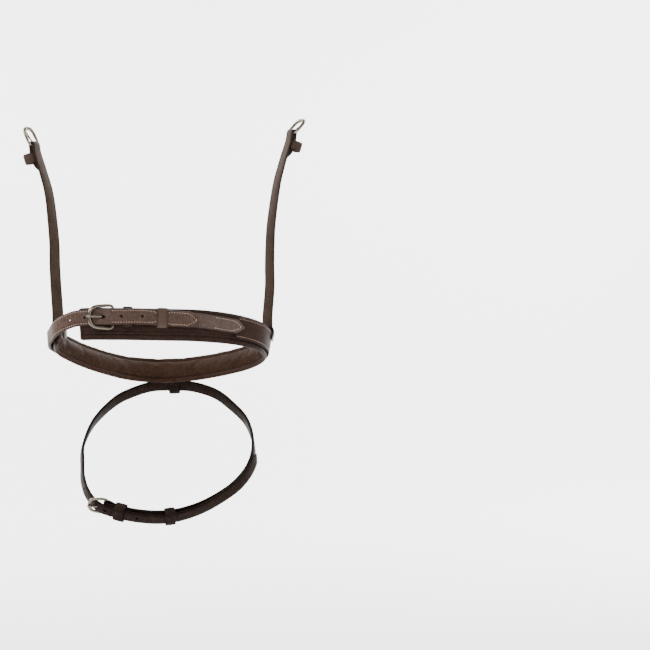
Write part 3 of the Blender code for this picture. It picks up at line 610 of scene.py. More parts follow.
def thread_mesh(name, routes, length=0.00150, radius=0.00038, pitch=STITCH_PITCH, slant=0.16):
    """Short thread capsules laid along routes of points with directions off the leather."""
    rows_of = ((-1.0, 0.25), (-0.82, 0.72), (-0.35, 1.0), (0.35, 1.0), (0.82, 0.72), (1.0, 0.25))
    sides = 6
    corners = [(math.cos(2 * math.pi * k / sides), math.sin(2 * math.pi * k / sides))
               for k in range(sides)]
    vertices, faces = [], []
    for points, normals in routes:
        along = running_length(points)
        count = max(1, int(along[-1] / pitch))
        stops = (np.arange(count) + 0.5) * along[-1] / count
        centre = read_table(along, points, stops)
        ahead = read_table(along, points, np.minimum(stops + 0.0005, along[-1]))
        behind = read_table(along, points, np.maximum(stops - 0.0005, 0.0))
        up = unit(read_table(along, normals, stops))
        forward = unit(ahead - behind)
        sideways = unit(np.cross(up, forward))
        turn = slant + 0.05 * random.standard_normal(count)
        forward = forward * np.cos(turn)[:, None] + sideways * np.sin(turn)[:, None]
        sideways = np.cross(up, forward)
        reach = 0.5 * length * (1.0 + 0.06 * random.standard_normal(count))
        for c, f, w, u, r in zip(centre, forward, sideways, up, reach):
            base = len(vertices)
            for place, girth in rows_of:
                middle = c + f * (place * r) + u * (radius * (0.30 - 0.75 * place * place))
                for y, z in corners:
                    vertices.append(middle + w * (y * girth * radius) + u * (z * girth * radius))
            for i in range(len(rows_of) - 1):
                for k in range(sides):
                    m = (k + 1) % sides
                    faces.append((base + i * sides + k, base + (i + 1) * sides + k,
                                  base + (i + 1) * sides + m, base + i * sides + m))
            faces.append(tuple(base + k for k in range(sides)))
            last = base + (len(rows_of) - 1) * sides
            faces.append(tuple(last + sides - 1 - k for k in range(sides)))
    mesh = bpy.data.meshes.new(name)
    mesh.from_pydata([tuple(v) for v in vertices], [], faces)
    tidy_mesh(mesh)
    return mesh


def edge_route(strip, start, stop, inset, side, samples=60):
    """A stitch route that keeps an even distance from one edge of a strip."""
    stops = np.linspace(start, stop, samples)
    offsets = [side * max(0.0, strip.half(x) - inset) for x in stops]
    return stitch_route(strip, np.column_stack([stops, offsets]))


# ---------------------------------------------------------------- materials
class Shader:
    """One material, built node by node."""

    def __init__(self, name):
        self.material = bpy.data.materials.new(name)
        self.material.use_nodes = True
        self.tree = self.material.node_tree
        self.surface = self.tree.nodes["Principled BSDF"]

    def feed(self, socket, value):
        """Link a socket to another, or set its constant."""
        if isinstance(value, bpy.types.NodeSocket):
            self.tree.links.new(value, socket)
        else:
            socket.default_value = value

    def add(self, kind, inputs, **settings):
        """A node with settings and inputs given by name or number; returns its outputs."""
        node = self.tree.nodes.new(kind)
        for label, value in settings.items():
            setattr(node, label, value)
        for label, value in inputs.items():
            self.feed(node.inputs[label], value)
        return node.outputs

    def maths(self, operation, a, b, clamp=False):
        """A maths node on two values."""
        return self.add("ShaderNodeMath", {0: a, 1: b}, operation=operation, use_clamp=clamp)[0]

    def mix(self, share, a, b, blend="MIX"):
        """A colour mix."""
        return self.add("ShaderNodeMix", {0: share, 6: a, 7: b}, data_type="RGBA",
                        blend_type=blend)[2]

    def spread(self, value, low, high, to_low, to_high):
        """A value stretched from one range to another."""
        return self.add("ShaderNodeMapRange", {0: value, 1: low, 2: high, 3: to_low, 4: to_high})[0]

    def place(self):
        """Coordinates that stay with the object."""
        return self.add("ShaderNodeTexCoord", {})["Object"]

    def bump(self, strength, distance, height):
        """A normal tilted by a height."""
        return self.add("ShaderNodeBump", {"Strength": strength, "Distance": distance,
                                           "Height": height})["Normal"]

    def attribute(self, name):
        """A named value stored on the mesh."""
        return self.add("ShaderNodeAttribute", {}, attribute_name=name)["Fac"]

    def noise(self, place, scale, detail=3.0, rough=0.5):
        """Soft random variation."""
        return self.add("ShaderNodeTexNoise", {"Vector": place, "Scale": scale, "Detail": detail,
                                               "Roughness": rough})["Fac"]

    def set(self, **inputs):
        """Feed the Principled shader."""
        for label, value in inputs.items():
            self.feed(self.surface.inputs[label.replace("_", " ")], value)


def rgba(colour, shade=1.0):
    """A colour with full opacity, scaled by shade."""
    return tuple(channel * shade for channel in colour) + (1.0,)


def leather_material(name, colour, edge=0.35, gloss=0.45, shine=0.06, bloom=0.0,
                     soft=False):
    """Bridle leather: mottled colour, pebble grain, darkened edges, painted shade in creases and
    seams, light wear.
    """
    shader = Shader(name)
    place = shader.place()
    cloud = shader.noise(place, 55.0, 4.0, 0.6)
    fine = shader.noise(place, 420.0, 5.0, 0.65)
    pebble_scale = 620.0 if soft else 1150.0
    pebble = shader.add("ShaderNodeTexVoronoi", {"Vector": place, "Scale": pebble_scale},
                        feature="DISTANCE_TO_EDGE")["Distance"]
    pores = shader.spread(pebble, 0.0, 0.16, 0.0, 1.0)
    tone = shader.mix(shader.spread(cloud, 0.35, 0.65, 0.0, 1.0), rgba(colour, 0.86),
                      rgba(colour, 1.18))
    tone = shader.mix(shader.spread(fine, 0.42, 0.72, 0.0, 0.12 + bloom), tone,
                      rgba([0.55 * c + 0.05 for c in colour], 1.6 + bloom))
    tone = shader.mix(shader.spread(pores, 0.0, 1.0, 0.42, 0.0), tone, rgba(colour, 0.45))
    rim = shader.attribute("rim")
    worn = shader.maths("MULTIPLY", rim, shader.spread(fine, 0.30, 0.62, 1.0, 0.72))
    tone = shader.mix(worn, tone, rgba(colour, edge))
    # Painted shade: the groove value darkens creased lines, seams and the creases between the band's
    # rolls.
    groove = shader.attribute("groove")
    tone = shader.mix(shader.maths("MULTIPLY", groove, 0.55), tone, rgba(colour, 0.35))
    rough = shader.spread(cloud, 0.3, 0.7, gloss - 0.07, gloss + 0.09)
    rough = shader.maths("ADD", rough, shader.spread(fine, 0.3, 0.7, -0.05, 0.06))
    height = shader.maths("MULTIPLY", pores, 0.5)
    height = shader.maths("ADD", height, shader.maths("MULTIPLY", fine, 0.9))
    shader.set(Base_Color=tone, Roughness=rough, Normal=shader.bump(0.42, 0.00013, height),
               Specular_IOR_Level=shine, Coat_Weight=0.0 if soft else 0.03, Coat_Roughness=0.34)
    return shader.material


def steel_material(name, colour=(0.150, 0.125, 0.097)):
    """Polished stainless steel with faint handling scratches; its dark warm base colour is a painted
    reflection of dark surroundings.
    """
    shader = Shader(name)
    place = shader.place()
    smear = shader.noise(place, 140.0, 4.0, 0.6)
    stretched = shader.add("ShaderNodeMapping", {"Vector": place, "Scale": (400.0, 2600.0, 900.0)})
    scratch = shader.noise(stretched[0], 1.0, 3.0, 0.7)
    # The dark base colour stands in for dark surroundings in the steel: a painted reflection.
    tone = shader.mix(shader.spread(smear, 0.35, 0.7, 0.0, 1.0), rgba(colour), rgba(colour, 0.86))
    rough = shader.spread(smear, 0.3, 0.75, 0.10, 0.22)
    rough = shader.maths("ADD", rough, shader.spread(scratch, 0.45, 0.75, 0.0, 0.08))
    shader.set(Base_Color=tone, Roughness=rough, Normal=shader.bump(0.12, 0.00004, scratch),
               Metallic=1.0)
    return shader.material


def thread_material(name, colour):
    """Waxed linen thread, a little uneven in colour."""
    shader = Shader(name)
    place = shader.place()
    uneven = shader.noise(place, 260.0, 3.0, 0.6)
    fibre = shader.noise(place, 5200.0, 2.0, 0.5)
    tone = shader.mix(shader.spread(uneven, 0.35, 0.65, 0.0, 1.0), rgba(colour, 0.65),
                      rgba(colour, 1.25))
    shader.set(Base_Color=tone, Roughness=0.62, Normal=shader.bump(0.5, 0.00006, fibre))
    return shader.material


def foam_material(name):
    """Open pores of a foam core."""
    shader = Shader(name)
    place = shader.place()
    cells = shader.add("ShaderNodeTexVoronoi", {"Vector": place, "Scale": 1500.0})["Distance"]
    tone = shader.mix(cells, rgba((0.13, 0.11, 0.09)), rgba((0.26, 0.22, 0.18)))
    shader.set(Base_Color=tone, Roughness=0.92, Normal=shader.bump(0.7, 0.0002, cells))
    return shader.material


# ---------------------------------------------------------------- padded band
def pad_stations(step, inset):
    """Distances of the padded band's cross-sections, pulled in at both ends."""
    start = PAD_START + inset
    end = RING.length - PAD_END_GAP - inset
    return np.linspace(start, end, int((end - start) / step))


def end_fade(s, reach):
    """One along the band, falling smoothly to zero at both ends."""
    near = min(s - PAD_START, RING.length - PAD_END_GAP - s)
    return math.sqrt(max(0.0, 1.0 - (1.0 - min(1.0, near / reach)) ** 2))


def cover_section(half, fade):
    """Outer cover: two soft rolls along the bottom, a low one along the top, thin edges."""
    outer = [(-half, -0.0019), (-half + 0.0006, -0.0011), (-half + 0.0018, -0.0001),
             (-half + 0.0034, 0.0002), (-half + 0.0050, -0.0002), (-half + 0.0060, -0.0010),
             (-half + 0.0065, -0.0013), (-half + 0.0070, -0.0010), (-half + 0.0080, -0.0003),
             (-half + 0.0090, -0.0003), (-half + 0.0097, -0.0009), (-half + 0.0104, -0.0004),
             (-half * 0.15, -0.0002), (half * 0.20, -0.0002), (half * 0.45, -0.0002),
             (half - 0.0052, -0.0008), (half - 0.0040, -0.0005), (half - 0.0024, -0.0004),
             (half - 0.0010, -0.0007), (half - 0.0003, -0.0012), (half, -0.0019)]
    inner = [(half - 0.0004, -0.0025), (half * 0.5, -0.0025), (0.0, -0.0025),
             (-half * 0.5, -0.0025), (-half + 0.0004, -0.0025)]
    marks = [1.0, 0.8, 0.3] + [0.0] * 15 + [0.3, 0.8, 1.0] + [0.5] * 5
    # Groove values for the creases between the rolls, darkened by the leather look as painted shade.
    dents = [0.0] * 5 + [0.4, 1.0, 0.4, 0.0, 0.3, 0.8, 0.3] + [0.0] * 14
    section = np.array(outer + inner)
    section[:, 1] = -0.0022 + (section[:, 1] + 0.0022) * (0.35 + 0.65 * fade)
    return section, np.array(marks), np.array(dents)


def band_cover():
    """Outer leather of the padded band."""
    rows, marks = [], []
    for s in pad_stations(0.0030, 0.0):
        half = pad_half(s) * (0.93 + 0.07 * end_fade(s, 0.004))
        section, rim, dent = cover_section(half, end_fade(s, 0.005))
        rows.append(RING.place(np.full(len(section), s), section[:, 1], section[:, 0]))
        marks.append(np.column_stack([np.full(len(section), s), section[:, 0], rim, dent]))
    mesh = loft("band_cover", np.array(rows), np.array(marks))
    return add_piece("band_cover", mesh, BAND_LEATHER, "noseband", "band_leather", "nose_band")


def lining_section(half, fade):
    """Inner lining from edge to edge: thin flange rolls and a broad roll between two seams."""
    seam = half - LINING_SEAM_INSET
    flange = [(half - 0.0001, -0.0023), (half - 0.0006, -0.0038), (half - 0.0020, -0.0054),
              (half - 0.0036, -0.0056), (seam, -0.0044)]
    across = np.linspace(1.0, -1.0, 13)[1:-1] * seam
    roll = [(w, -0.0050 - 0.0043 * (1.0 - abs(w / seam) ** 2.4)) for w in across]
    section = np.array(flange + roll + [(-w, n) for w, n in reversed(flange)])
    section[:, 1] = -0.0023 + (section[:, 1] + 0.0023) * (0.12 + 0.88 * fade)
    pinned = [True, False, False, False, True] + [False] * 11 + [True, False, False, False, True]
    return section, np.array(pinned)


def lining_mesh():
    """Soft lining, swollen by its padding between pinned seams, with folds at tight bends."""
    stations = pad_stations(0.0026, 0.0004)
    rows, pins = [], []
    for s in stations:
        half = pad_half(s) * (0.93 + 0.07 * end_fade(s, 0.004))
        section, pinned = lining_section(half, end_fade(s, 0.007))
        rows.append(RING.place(np.full(len(section), s), section[:, 1], section[:, 0]))
        pins.append(pinned)
    rows = np.array(rows)
    pins = np.array(pins)
    pins[:2] = True
    pins[-2:] = True
    mesh = loft("lining", rows, None, caps=False, wrap=False)
    thing = put_object("lining", mesh)
    inward = -np.repeat(RING.frame(stations)[3], rows.shape[1], axis=0)
    face_inward(mesh, inward)
    swell(thing, np.flatnonzero(pins.ravel()), inward)
    fold_at_bends(mesh, stations, rows.shape[1], pins, inward)
    # The seams get groove values, which the leather look darkens as painted shade along the seams.
    groove = mesh.attributes.new("groove", "FLOAT", "POINT")
    seam = np.zeros(rows.shape[:2], np.float32)
    seam[:, LINING_SEAM_COLUMNS] = 1.0
    groove.data.foreach_set("value", seam.ravel())
    smooth = thing.modifiers.new("smooth", "SUBSURF")
    smooth.levels = 1
    smooth.render_levels = 1
    shell = thing.modifiers.new("shell", "SOLIDIFY")
    shell.thickness = LINING_THICKNESS
    shell.offset = -1.0
    result = evaluated(thing)
    bpy.data.objects.remove(thing, do_unlink=True)
    shade_smooth(result)
    return result


def face_inward(mesh, inward):
    """Turn the faces so that they look towards the wearer."""
    mesh.update()
    some_faces = list(mesh.polygons)[::7]
    agree = sum(np.dot(face.normal, inward[face.vertices[0]]) for face in some_faces)
    if agree < 0.0:
        mesh.flip_normals()


def swell(thing, pinned, inward):
    """Blow the lining up a little between its pinned seams."""
    group = thing.vertex_groups.new(name="pinned")
    group.add([int(i) for i in pinned], 1.0, "REPLACE")
    before = mesh_points(thing.data)
    cloth = thing.modifiers.new("swell", "CLOTH")
    cloth.settings.quality = 6
    cloth.settings.mass = 0.20
    cloth.settings.tension_stiffness = 22.0
    cloth.settings.compression_stiffness = 12.0
    cloth.settings.shear_stiffness = 6.0
    cloth.settings.bending_stiffness = 0.5
    cloth.settings.shrink_min = SWELL_SHRINK
    cloth.settings.use_pressure = True
    cloth.settings.uniform_pressure_force = SWELL_PRESSURE
    cloth.settings.vertex_group_mass = "pinned"
    cloth.settings.effector_weights.gravity = 0.0
    scene = bpy.context.scene
    for step in range(1, SWELL_STEPS + 1):
        scene.frame_set(step)
    swollen = evaluated(thing)
    after = mesh_points(swollen)
    thing.modifiers.remove(cloth)
    scene.frame_set(1)
    move = after - before
    depth = (move * inward).sum(axis=1, keepdims=True)
    move += inward * (np.clip(depth, *SWELL_DEPTH) - depth)
    size = np.linalg.norm(move, axis=1, keepdims=True)
    move *= np.minimum(1.0, SWELL_REACH / np.maximum(size, 1e-9))
    thing.data.vertices.foreach_set("co", (before + move).astype(np.float32).ravel())
    thing.data.update()
    bpy.data.meshes.remove(swollen)


def mesh_points(mesh):
    """Vertex positions as an array."""
    points = np.zeros(len(mesh.vertices) * 3, np.float32)
    mesh.vertices.foreach_get("co", points)
    return points.reshape(-1, 3).astype(float)


def fold_at_bends(mesh, stations, columns, pins, inward):
    """Cross folds pressed into the lining where the band bends sharply."""
    travel = RING.frame(stations)[1]
    bend = np.linalg.norm(np.gradient(travel, stations, axis=0), axis=1)
    strength = np.clip((bend - FOLD_BEND_START) / FOLD_BEND_RANGE, 0.0, 1.0)
    phase = np.cumsum(random.uniform(0.55, 1.35, len(stations)))
    across = np.linspace(-1.0, 1.0, columns)
    drift = 0.9 * np.sin(1.7 * across + 0.4)
    wave = np.sin(phase[:, None] * 1.15 + drift[None, :])
    profile = (1.0 - across ** 2) ** 0.5
    push = FOLD_DEPTH * strength[:, None] * wave * profile[None, :]
    push[pins] *= 0.25
    points = mesh_points(mesh) + inward * push.ravel()[:, None]
    mesh.vertices.foreach_set("co", points.astype(np.float32).ravel())
    mesh.update()


def padded_lining():
    """The visible padded lining of the band."""
    lining = add_piece("padded_lining", lining_mesh(), LINING_LEATHER, "noseband",
                       "lining_leather", "nose_lining")
    return lining


def foam_core():
    """Foam strip between the cover and the lining."""
    rows = []
    for s in pad_stations(0.0060, 0.0060):
        half = pad_half(s)
        fade = end_fade(s - 0.002, 0.010)
        side = [(half - 0.0062, -0.0029), (half - 0.0070, -0.0038), (half - 0.0095, -0.0054),
                (half - 0.0120, -0.0062)]
        loop = side + [(0.0, -0.0067)] + [(-w, n) for w, n in reversed(side)]
        loop = np.array(loop)
        loop[:, 1] = -0.0028 + (loop[:, 1] + 0.0028) * (0.4 + 0.6 * fade)
        rows.append(RING.place(np.full(len(loop), s), loop[:, 1], loop[:, 0]))
    mesh = loft("foam_core", np.array(rows))
    core = add_piece("foam_core", mesh, FOAM, "noseband", "padding_foam", "nose_padding")
    return core


def overlay():
    """Raised stitched strap on the outside of the band."""
    end = RING.length - OVERLAY_END_GAP
    profile = [(s, 0.0014) for s in np.linspace(OVERLAY_START, end, 12)]
    strip = strap_strip(RING, profile, OVERLAY_WIDTH, 0.0018, ("corner", "corner"),
                        overlay_across)
    style = dict(STYLE, inset=0.0021, crown=0.00025, depth=0.00026)
    mesh = strip_mesh("overlay_strap", strip, 0.0026, style)
    add_piece("overlay_strap", mesh, BAND_LEATHER, "noseband", "band_leather", "nose_overlay")
    routes = [edge_route(strip, 0.003, strip.length - 0.003, 0.0021, side, 300)
              for side in (-1, 1)]
    add_piece("overlay_stitches", thread_mesh("overlay_stitches", routes), THREAD_DARK,
              "noseband", "thread")


# ---------------------------------------------------------------- jaw straps
def billet():
    """Pointed strap with holes, from the left side through the jaw buckle."""
    profile = (
        (-0.2200, 0.0043), (-0.1980, 0.0043), (-0.1860, 0.0044), (-0.1520, 0.0044),
        (-0.1400, 0.0024), (-0.1200, 0.0020), (-0.0920, 0.0020), (-0.0840, 0.0020),
        (-0.0775, 0.0024), (-0.0720, 0.0043), (-0.0664, 0.0070), (-0.0605, 0.0090),
        (-0.0547, 0.0096), (-0.0490, 0.0096), (-0.0430, 0.0095), (-0.0330, 0.0094),
        (-0.0260, 0.0086), (-0.0140, 0.0063), (-0.0050, 0.0057), (0.0200, 0.0057),
        (0.0417, 0.0057),
    )
    strip = strap_strip(RING, profile, BILLET_WIDTH, BILLET_THICKNESS, ("point", "point"),
                        jaw_across)
    style = dict(STYLE, inset=0.0011, groove=0.00035, crown=0.00030)
    mesh = strip_mesh("billet", strip, 0.0020, style)
    stop_of = lambda s: float(np.interp(s, strip.distance, strip.run))
    punches = [(strip_basis(strip, stop_of(s)), radius, BILLET_PUNCH_DEPTH, 1.0)
               for s, radius in BILLET_HOLES]
    punches.append((strip_basis(strip, stop_of(PRONG_HOLE_S)), PRONG_HOLE_RADIUS,
                    BILLET_PUNCH_DEPTH, PRONG_HOLE_STRETCH))
    mesh = punched(mesh, punches)
    add_piece("billet", mesh, STRAP_LEATHER, "noseband", "strap_leather", "billet_strap")
    keeper = stop_of(JAW_RUNNING_KEEPER_S)
    first = stop_of(-0.0560)
    left = stop_of(-0.1250)
    routes = []
    for side in (-1, 1):
        routes.append(edge_route(strip, stop_of(-0.2080), left, 0.0023, side, 120))
        routes.append(edge_route(strip, left, stop_of(-0.0760), 0.0023, side, 80))
        near = strip.half(first) - 0.0026
        routes.append(stitch_route(strip, [
            (first, side * near), (keeper - 0.0155, side * near),
            (keeper - 0.0100, side * near * 0.92), (keeper - 0.0060, side * near * 0.70)]))
        tip = strip.length - 0.0045
        body = strip.half(keeper + 0.010) - 0.0024
        routes.append(stitch_route(strip, [
            (keeper + 0.0062, side * body * 0.86), (keeper + 0.0105, side * body),
            (strip.length - 0.0150, side * body), (strip.length - 0.0105, side * body * 0.62),
            (tip, 0.0)]))
    add_piece("billet_stitches", thread_mesh("billet_stitches", routes), THREAD_LIGHT,
              "noseband", "thread")


def strip_basis(strip, stop):
    """Matrix with X along a strip, Y across it and Z off its grain side."""
    point, travel, width, normal = (table[0] for table in strip.read(stop))
    return axes_matrix(travel, width, normal, point)


def fold_knots(bar, centre, wrap, forward):
    """Knots of a fold round a bar, starting outside and ending inside it."""
    angles = (90.0, 60.0, 30.0, 0.0, -30.0, -60.0, -90.0)
    return [(bar + forward * wrap * math.cos(math.radians(a)),
             centre + wrap * math.sin(math.radians(a))) for a in angles]


def chape():
    """Strap that holds the jaw buckle, folded round its bar, with a sewn arrow end."""
    wrap = JAW_BUCKLE["bar"] + 0.0003 + CHAPE_THICKNESS / 2
    profile = [(0.0940, 0.0037), (0.0830, 0.0036), (0.0760, 0.0017), (0.0560, 0.0016),
               (0.0460, 0.0029), (0.0200, 0.0029), (-0.0060, 0.0029), (-0.0140, 0.0030),
               (-0.0260, 0.0051), (-0.0440, 0.0051)]
    profile += fold_knots(JAW_BAR_S, JAW_BAR_HEIGHT, wrap, -1)
    profile += [(-0.0450, 0.0028), (-0.0280, 0.0029)]
    strip = strap_strip(RING, profile, CHAPE_WIDTH, CHAPE_THICKNESS, ("point", "square"),
                        jaw_across)
    flip_grain(strip)
    style = dict(STYLE, inset=0.0011, groove=0.00035, crown=0.00015)
    mesh = strip_mesh("chape", strip, 0.0020, style)
    add_piece("chape", mesh, CHAPE_LEATHER, "noseband", "strap_leather", "chape_strap")
    routes = []
    for side in (-1, 1):
        near = strip.full_half - 0.0024
        routes.append(stitch_route(strip, [
            (0.0050, 0.0), (0.0100, side * near * 0.62), (0.0150, side * near),
            (0.0370, side * near)]))
    add_piece("chape_stitches", thread_mesh("chape_stitches", routes), THREAD_LIGHT,
              "noseband", "thread")


def flip_grain(strip):
    """Turn a strip over, so that its grain side is the other one."""
    strip.normal = -strip.normal
    strip.width = -strip.width


def keeper(name, matrix, outline, length, thickness, material, body, slot, node):
    """A leather loop with creased edges."""
    strip = local_strip(matrix, outline, length, thickness)
    style = dict(STYLE, inset=0.0013, groove=0.00035, depth=0.00018, crown=0.00022)
    mesh = strip_mesh(name, strip, 0.0009, style)
    return add_piece(name, mesh, material, body, slot, node)


def jaw_keepers():
    """Fixed and running keepers round the jaw straps."""
    matrix = RING.basis(JAW_FIXED_KEEPER_S, 0.0, jaw_across(JAW_FIXED_KEEPER_S))
    outline = rounded_outline(BILLET_WIDTH / 2 + 0.0016, 0.0008, 0.0069, 0.0022)
    keeper("jaw_keeper_fixed", matrix, outline, 0.0105, 0.0012, BAND_LEATHER, "noseband",
           "strap_leather", "jaw_fixed_keeper")
    matrix = RING.basis(JAW_RUNNING_KEEPER_S, 0.0, jaw_across(JAW_RUNNING_KEEPER_S))
    outline = rounded_outline(BILLET_WIDTH / 2 + 0.0014, 0.0009, 0.0087, 0.0024, 0.0002)
    # The running keeper gets a lighter copy of the strap leather, a painted highlight.
    keeper("jaw_keeper_running", matrix, outline, 0.0115, 0.0012, HIGHLIT_KEEPER_LEATHER, "jaw_slider",
           "strap_leather", "jaw_running_keeper")


# ---------------------------------------------------------------- buckles
def wire_mesh(name, points, flat, deep, matrix, closed=False, sides=16):
    """Drawn wire along local points; flat is its radius in the XY plane, deep along Z."""
    points = np.asarray(points, dtype=float)
    if closed:
        ring = np.vstack([points[-1], points, points[0]])
        travel = unit(ring[2:] - ring[:-2])
    else:
        travel = unit(np.gradient(points, axis=0))
    side = np.cross(travel, np.array((0.0, 0.0, 1.0)))
    if not closed and np.min(np.linalg.norm(side, axis=1)) < 0.2:
        side = np.broadcast_to(np.array((0.0, 1.0, 0.0)), points.shape)
    side = unit(side)
    up = np.cross(side, travel)
    angles = np.linspace(0.0, 2.0 * math.pi, sides, endpoint=False)
    rows = [p + np.outer(np.cos(angles) * a, w) + np.outer(np.sin(angles) * b, u)
            for p, w, u, a, b in zip(points, side, up, flat, deep)]
    rows = np.array(rows)
    turn = np.array(matrix.to_3x3())
    rows = rows @ turn.T + np.array(matrix.translation)
    if closed:
        rows = np.concatenate([rows, rows[:1]])
    return loft(name, rows, None, closed=closed)


def frame_mesh(name, matrix, buckle):
    """Rounded frame of a buckle: slim bar, fuller end bar."""
    half = buckle["half"]
    reach = buckle["length"]
    knots = (
        (0.0, -half * 0.86, buckle["bar"]), (0.0, -half * 0.45, buckle["bar"]),
        (0.0, half * 0.45, buckle["bar"]), (0.0, half * 0.86, buckle["bar"]),
        (reach * 0.08, half * 1.02, buckle["bar"] * 1.05), (reach * 0.50, half, buckle["side"]),
        (reach * 0.79, half * 0.89, buckle["side"]), (reach * 0.94, half * 0.59, buckle["end"]),
        (reach, 0.0, buckle["end"]),
        (reach * 0.94, -half * 0.59, buckle["end"]), (reach * 0.79, -half * 0.89, buckle["side"]),
        (reach * 0.50, -half, buckle["side"]), (reach * 0.08, -half * 1.02, buckle["bar"] * 1.05),
    )
    path = smooth_path(knots, closed=True, step=0.0006)[:-1]
    rise = buckle["rise"] / reach
    points = np.column_stack([path[:, 0], path[:, 1], path[:, 0] * rise])
    return wire_mesh(name, points, path[:, 2] * 1.0, path[:, 2] * 0.92, matrix, closed=True)


def prong_mesh(name, matrix, buckle, shaft, radius):
    """Prong: a flattened eye round the bar, then a shaft that ends in a flat rounded tip."""
    eye = 0.62 * radius
    turn = buckle["bar"] + 0.00025 + eye
    knots = [(turn * math.cos(math.radians(a)), turn * math.sin(math.radians(a)), eye)
             for a in (70, 115, 160, 205, 250, 295, 335)]
    knots += [(x, z, radius) for x, z in shaft]
    path = smooth_path(knots, step=0.0005)
    points = np.column_stack([path[:, 0], np.zeros(len(path)), path[:, 1]])
    run = running_length(points)
    left = np.clip((run[-1] - run) / 0.0016, 0.0, 1.0)
    taper = 0.25 + 0.75 * np.sqrt(1.0 - (1.0 - left) ** 2)
    return wire_mesh(name, points, path[:, 2] * 1.08 * taper, path[:, 2] * 0.94 * taper, matrix,
                     sides=14)


def buckle_pair(name, matrix, buckle, shaft, radius, bodies, nodes):
    """A buckle's frame and prong as two pieces."""
    add_piece(name + "_frame", frame_mesh(name + "_frame", matrix, buckle), STEEL,
              bodies[0], "buckle_steel", nodes[0])
    add_piece(name + "_prong", prong_mesh(name + "_prong", matrix, buckle, shaft, radius), STEEL,
              bodies[1], "buckle_steel", nodes[1])


def jaw_buckle():
    """Jaw buckle on the bar of the chape."""
    matrix = RING.basis(JAW_BAR_S, JAW_BAR_HEIGHT, jaw_across(JAW_BAR_S), forward=-1)
    shaft = ((0.0031, 0.0003), (0.0050, 0.0012), (0.0082, 0.0017), (0.0103, 0.0027),
             (0.0125, 0.0047), (0.0155, 0.0057), (0.0255, 0.0060), (0.0285, 0.0054))
    buckle_pair("jaw_buckle", matrix, JAW_BUCKLE, shaft, 0.00125, ("jaw_frame", "jaw_prong"),
                ("jaw_buckle_frame", "jaw_buckle_prong"))


def flash_buckle():
    """Flash buckle, pitched outward."""
    matrix = FLASH.basis(FLASH_BAR_S, FLASH_BAR_HEIGHT, 0.0, forward=-1)
    matrix = matrix @ Matrix.Rotation(-FLASH_BUCKLE_PITCH, 4, "Y")
    shaft = ((0.0027, 0.0001), (0.0045, 0.0005), (0.0080, 0.0012), (0.0130, 0.0025),
             (0.0200, 0.0033), (0.0224, 0.0031))
    buckle_pair("flash_buckle", matrix, FLASH_BUCKLE, shaft, 0.0010,
                ("flash_frame", "flash_prong"), ("flash_buckle_frame", "flash_buckle_prong"))


def hanger_buckle(track, side):
    """Buckle at the top of a hanger."""
    matrix = track.basis(track.length, 0.00125, 0.0)
    matrix = matrix @ Matrix.Rotation(-HANGERS[side]["pitch"], 4, "Y")
    shaft = ((0.0027, 0.0002), (0.0050, 0.0012), (0.0090, 0.0021), (0.0170, 0.0032),
             (0.0195, 0.0029))
    buckle_pair("hanger_buckle_" + side, matrix, HANGER_BUCKLE, shaft, 0.0010,
                ("hanger_frame_" + side, "hanger_prong_" + side),
                ("hanger_buckle_frame_" + side, "hanger_buckle_prong_" + side))


# ---------------------------------------------------------------- flash
def flash_loop():
    """Leather loop sewn to the nose; the flash strap runs through it."""
    stations = np.linspace(0.30, 0.36, 61)
    sideways = RING_CENTRE[0] + FLASH_TOP[0] - RING.place(stations)[:, 0]
    s = float(np.interp(0.0, sideways, stations))
    knots = ((0.0100, 0.0037), (0.0035, 0.0037), (-0.0015, 0.0060), (-0.0057, 0.0108),
             (-0.0105, 0.0163), (-0.0148, 0.0213), (-0.0180, 0.0217), (-0.0204, 0.0187),
             (-0.0203, 0.0150), (-0.0160, 0.0100), (-0.0115, 0.0050), (-0.0060, 0.0037))
    outline = smooth_path(knots, step=0.0008)
    strip = local_strip(RING.basis(s), outline, 0.0130, 0.0016, closed=False)
    mesh = strip_mesh("flash_loop_leather", strip, 0.0011)
    add_piece("flash_loop_leather", mesh, FLASH_LEATHER, "noseband", "band_leather", "flash_loop")


def flash():
    """Long strap, folded round its buckle's bar, once round and through the buckle."""
    bar = FLASH_BAR_S
    wrap = FLASH_BUCKLE["bar"] + 0.0003 + FLASH_THICKNESS / 2
    lap = bar + FLASH.length
    profile = [(bar + 0.0340, 0.0031), (bar + 0.0130, 0.0031)]
    profile += fold_knots(bar, FLASH_BAR_HEIGHT, wrap, -1)
    profile += [(bar + 0.0110, 0.0)]
    profile += [(s, 0.0) for s in (0.00, 0.10, 0.20, 0.30, 0.40, 0.50)]
    profile += [(lap - 0.0400, 0.0), (lap - 0.0280, 0.0006), (lap - 0.0180, 0.0032),
                (lap - 0.0100, 0.0064), (lap - 0.0040, 0.0076), (lap + 0.0020, 0.0078),
                (lap + 0.0140, 0.0070), (lap + 0.0400, 0.0068),
                (lap + 0.0800, 0.0064), (lap + 0.1100, 0.0048), (lap + 0.1450, 0.0031),
                (lap + FLASH_BILLET_LAP, 0.0031)]
    strip = strap_strip(FLASH, profile, FLASH_WIDTH, FLASH_THICKNESS, ("point", "point"))
    style = dict(STYLE, inset=0.0015, crown=0.00028, depth=0.00024, under=0.7)
    strip.body = lambda stop: np.interp(strip.distance_at(stop), (0.040, 0.160, lap - 0.110,
                                                                  lap - 0.050), (1.0, 1.25, 1.25, 1.0))
    mesh = strip_mesh("flash_leather_strap", strip, 0.0022, style)
    from_end = strip.length - (lap + FLASH_BILLET_LAP)
    punches = []
    for s in (lap + 0.030, lap - 0.050, lap - 0.070, lap - 0.090):
        punches.append((strip_basis(strip, s + from_end), 0.0016, 0.0040, 1.0))
    punches.append((strip_basis(strip, lap - 0.0078 + from_end), 0.0016, 0.0060, 1.6))
    mesh = punched(mesh, punches)
    add_piece("flash_leather_strap", mesh, FLASH_LEATHER, "flash", "flash_leather",
              "flash_strap")


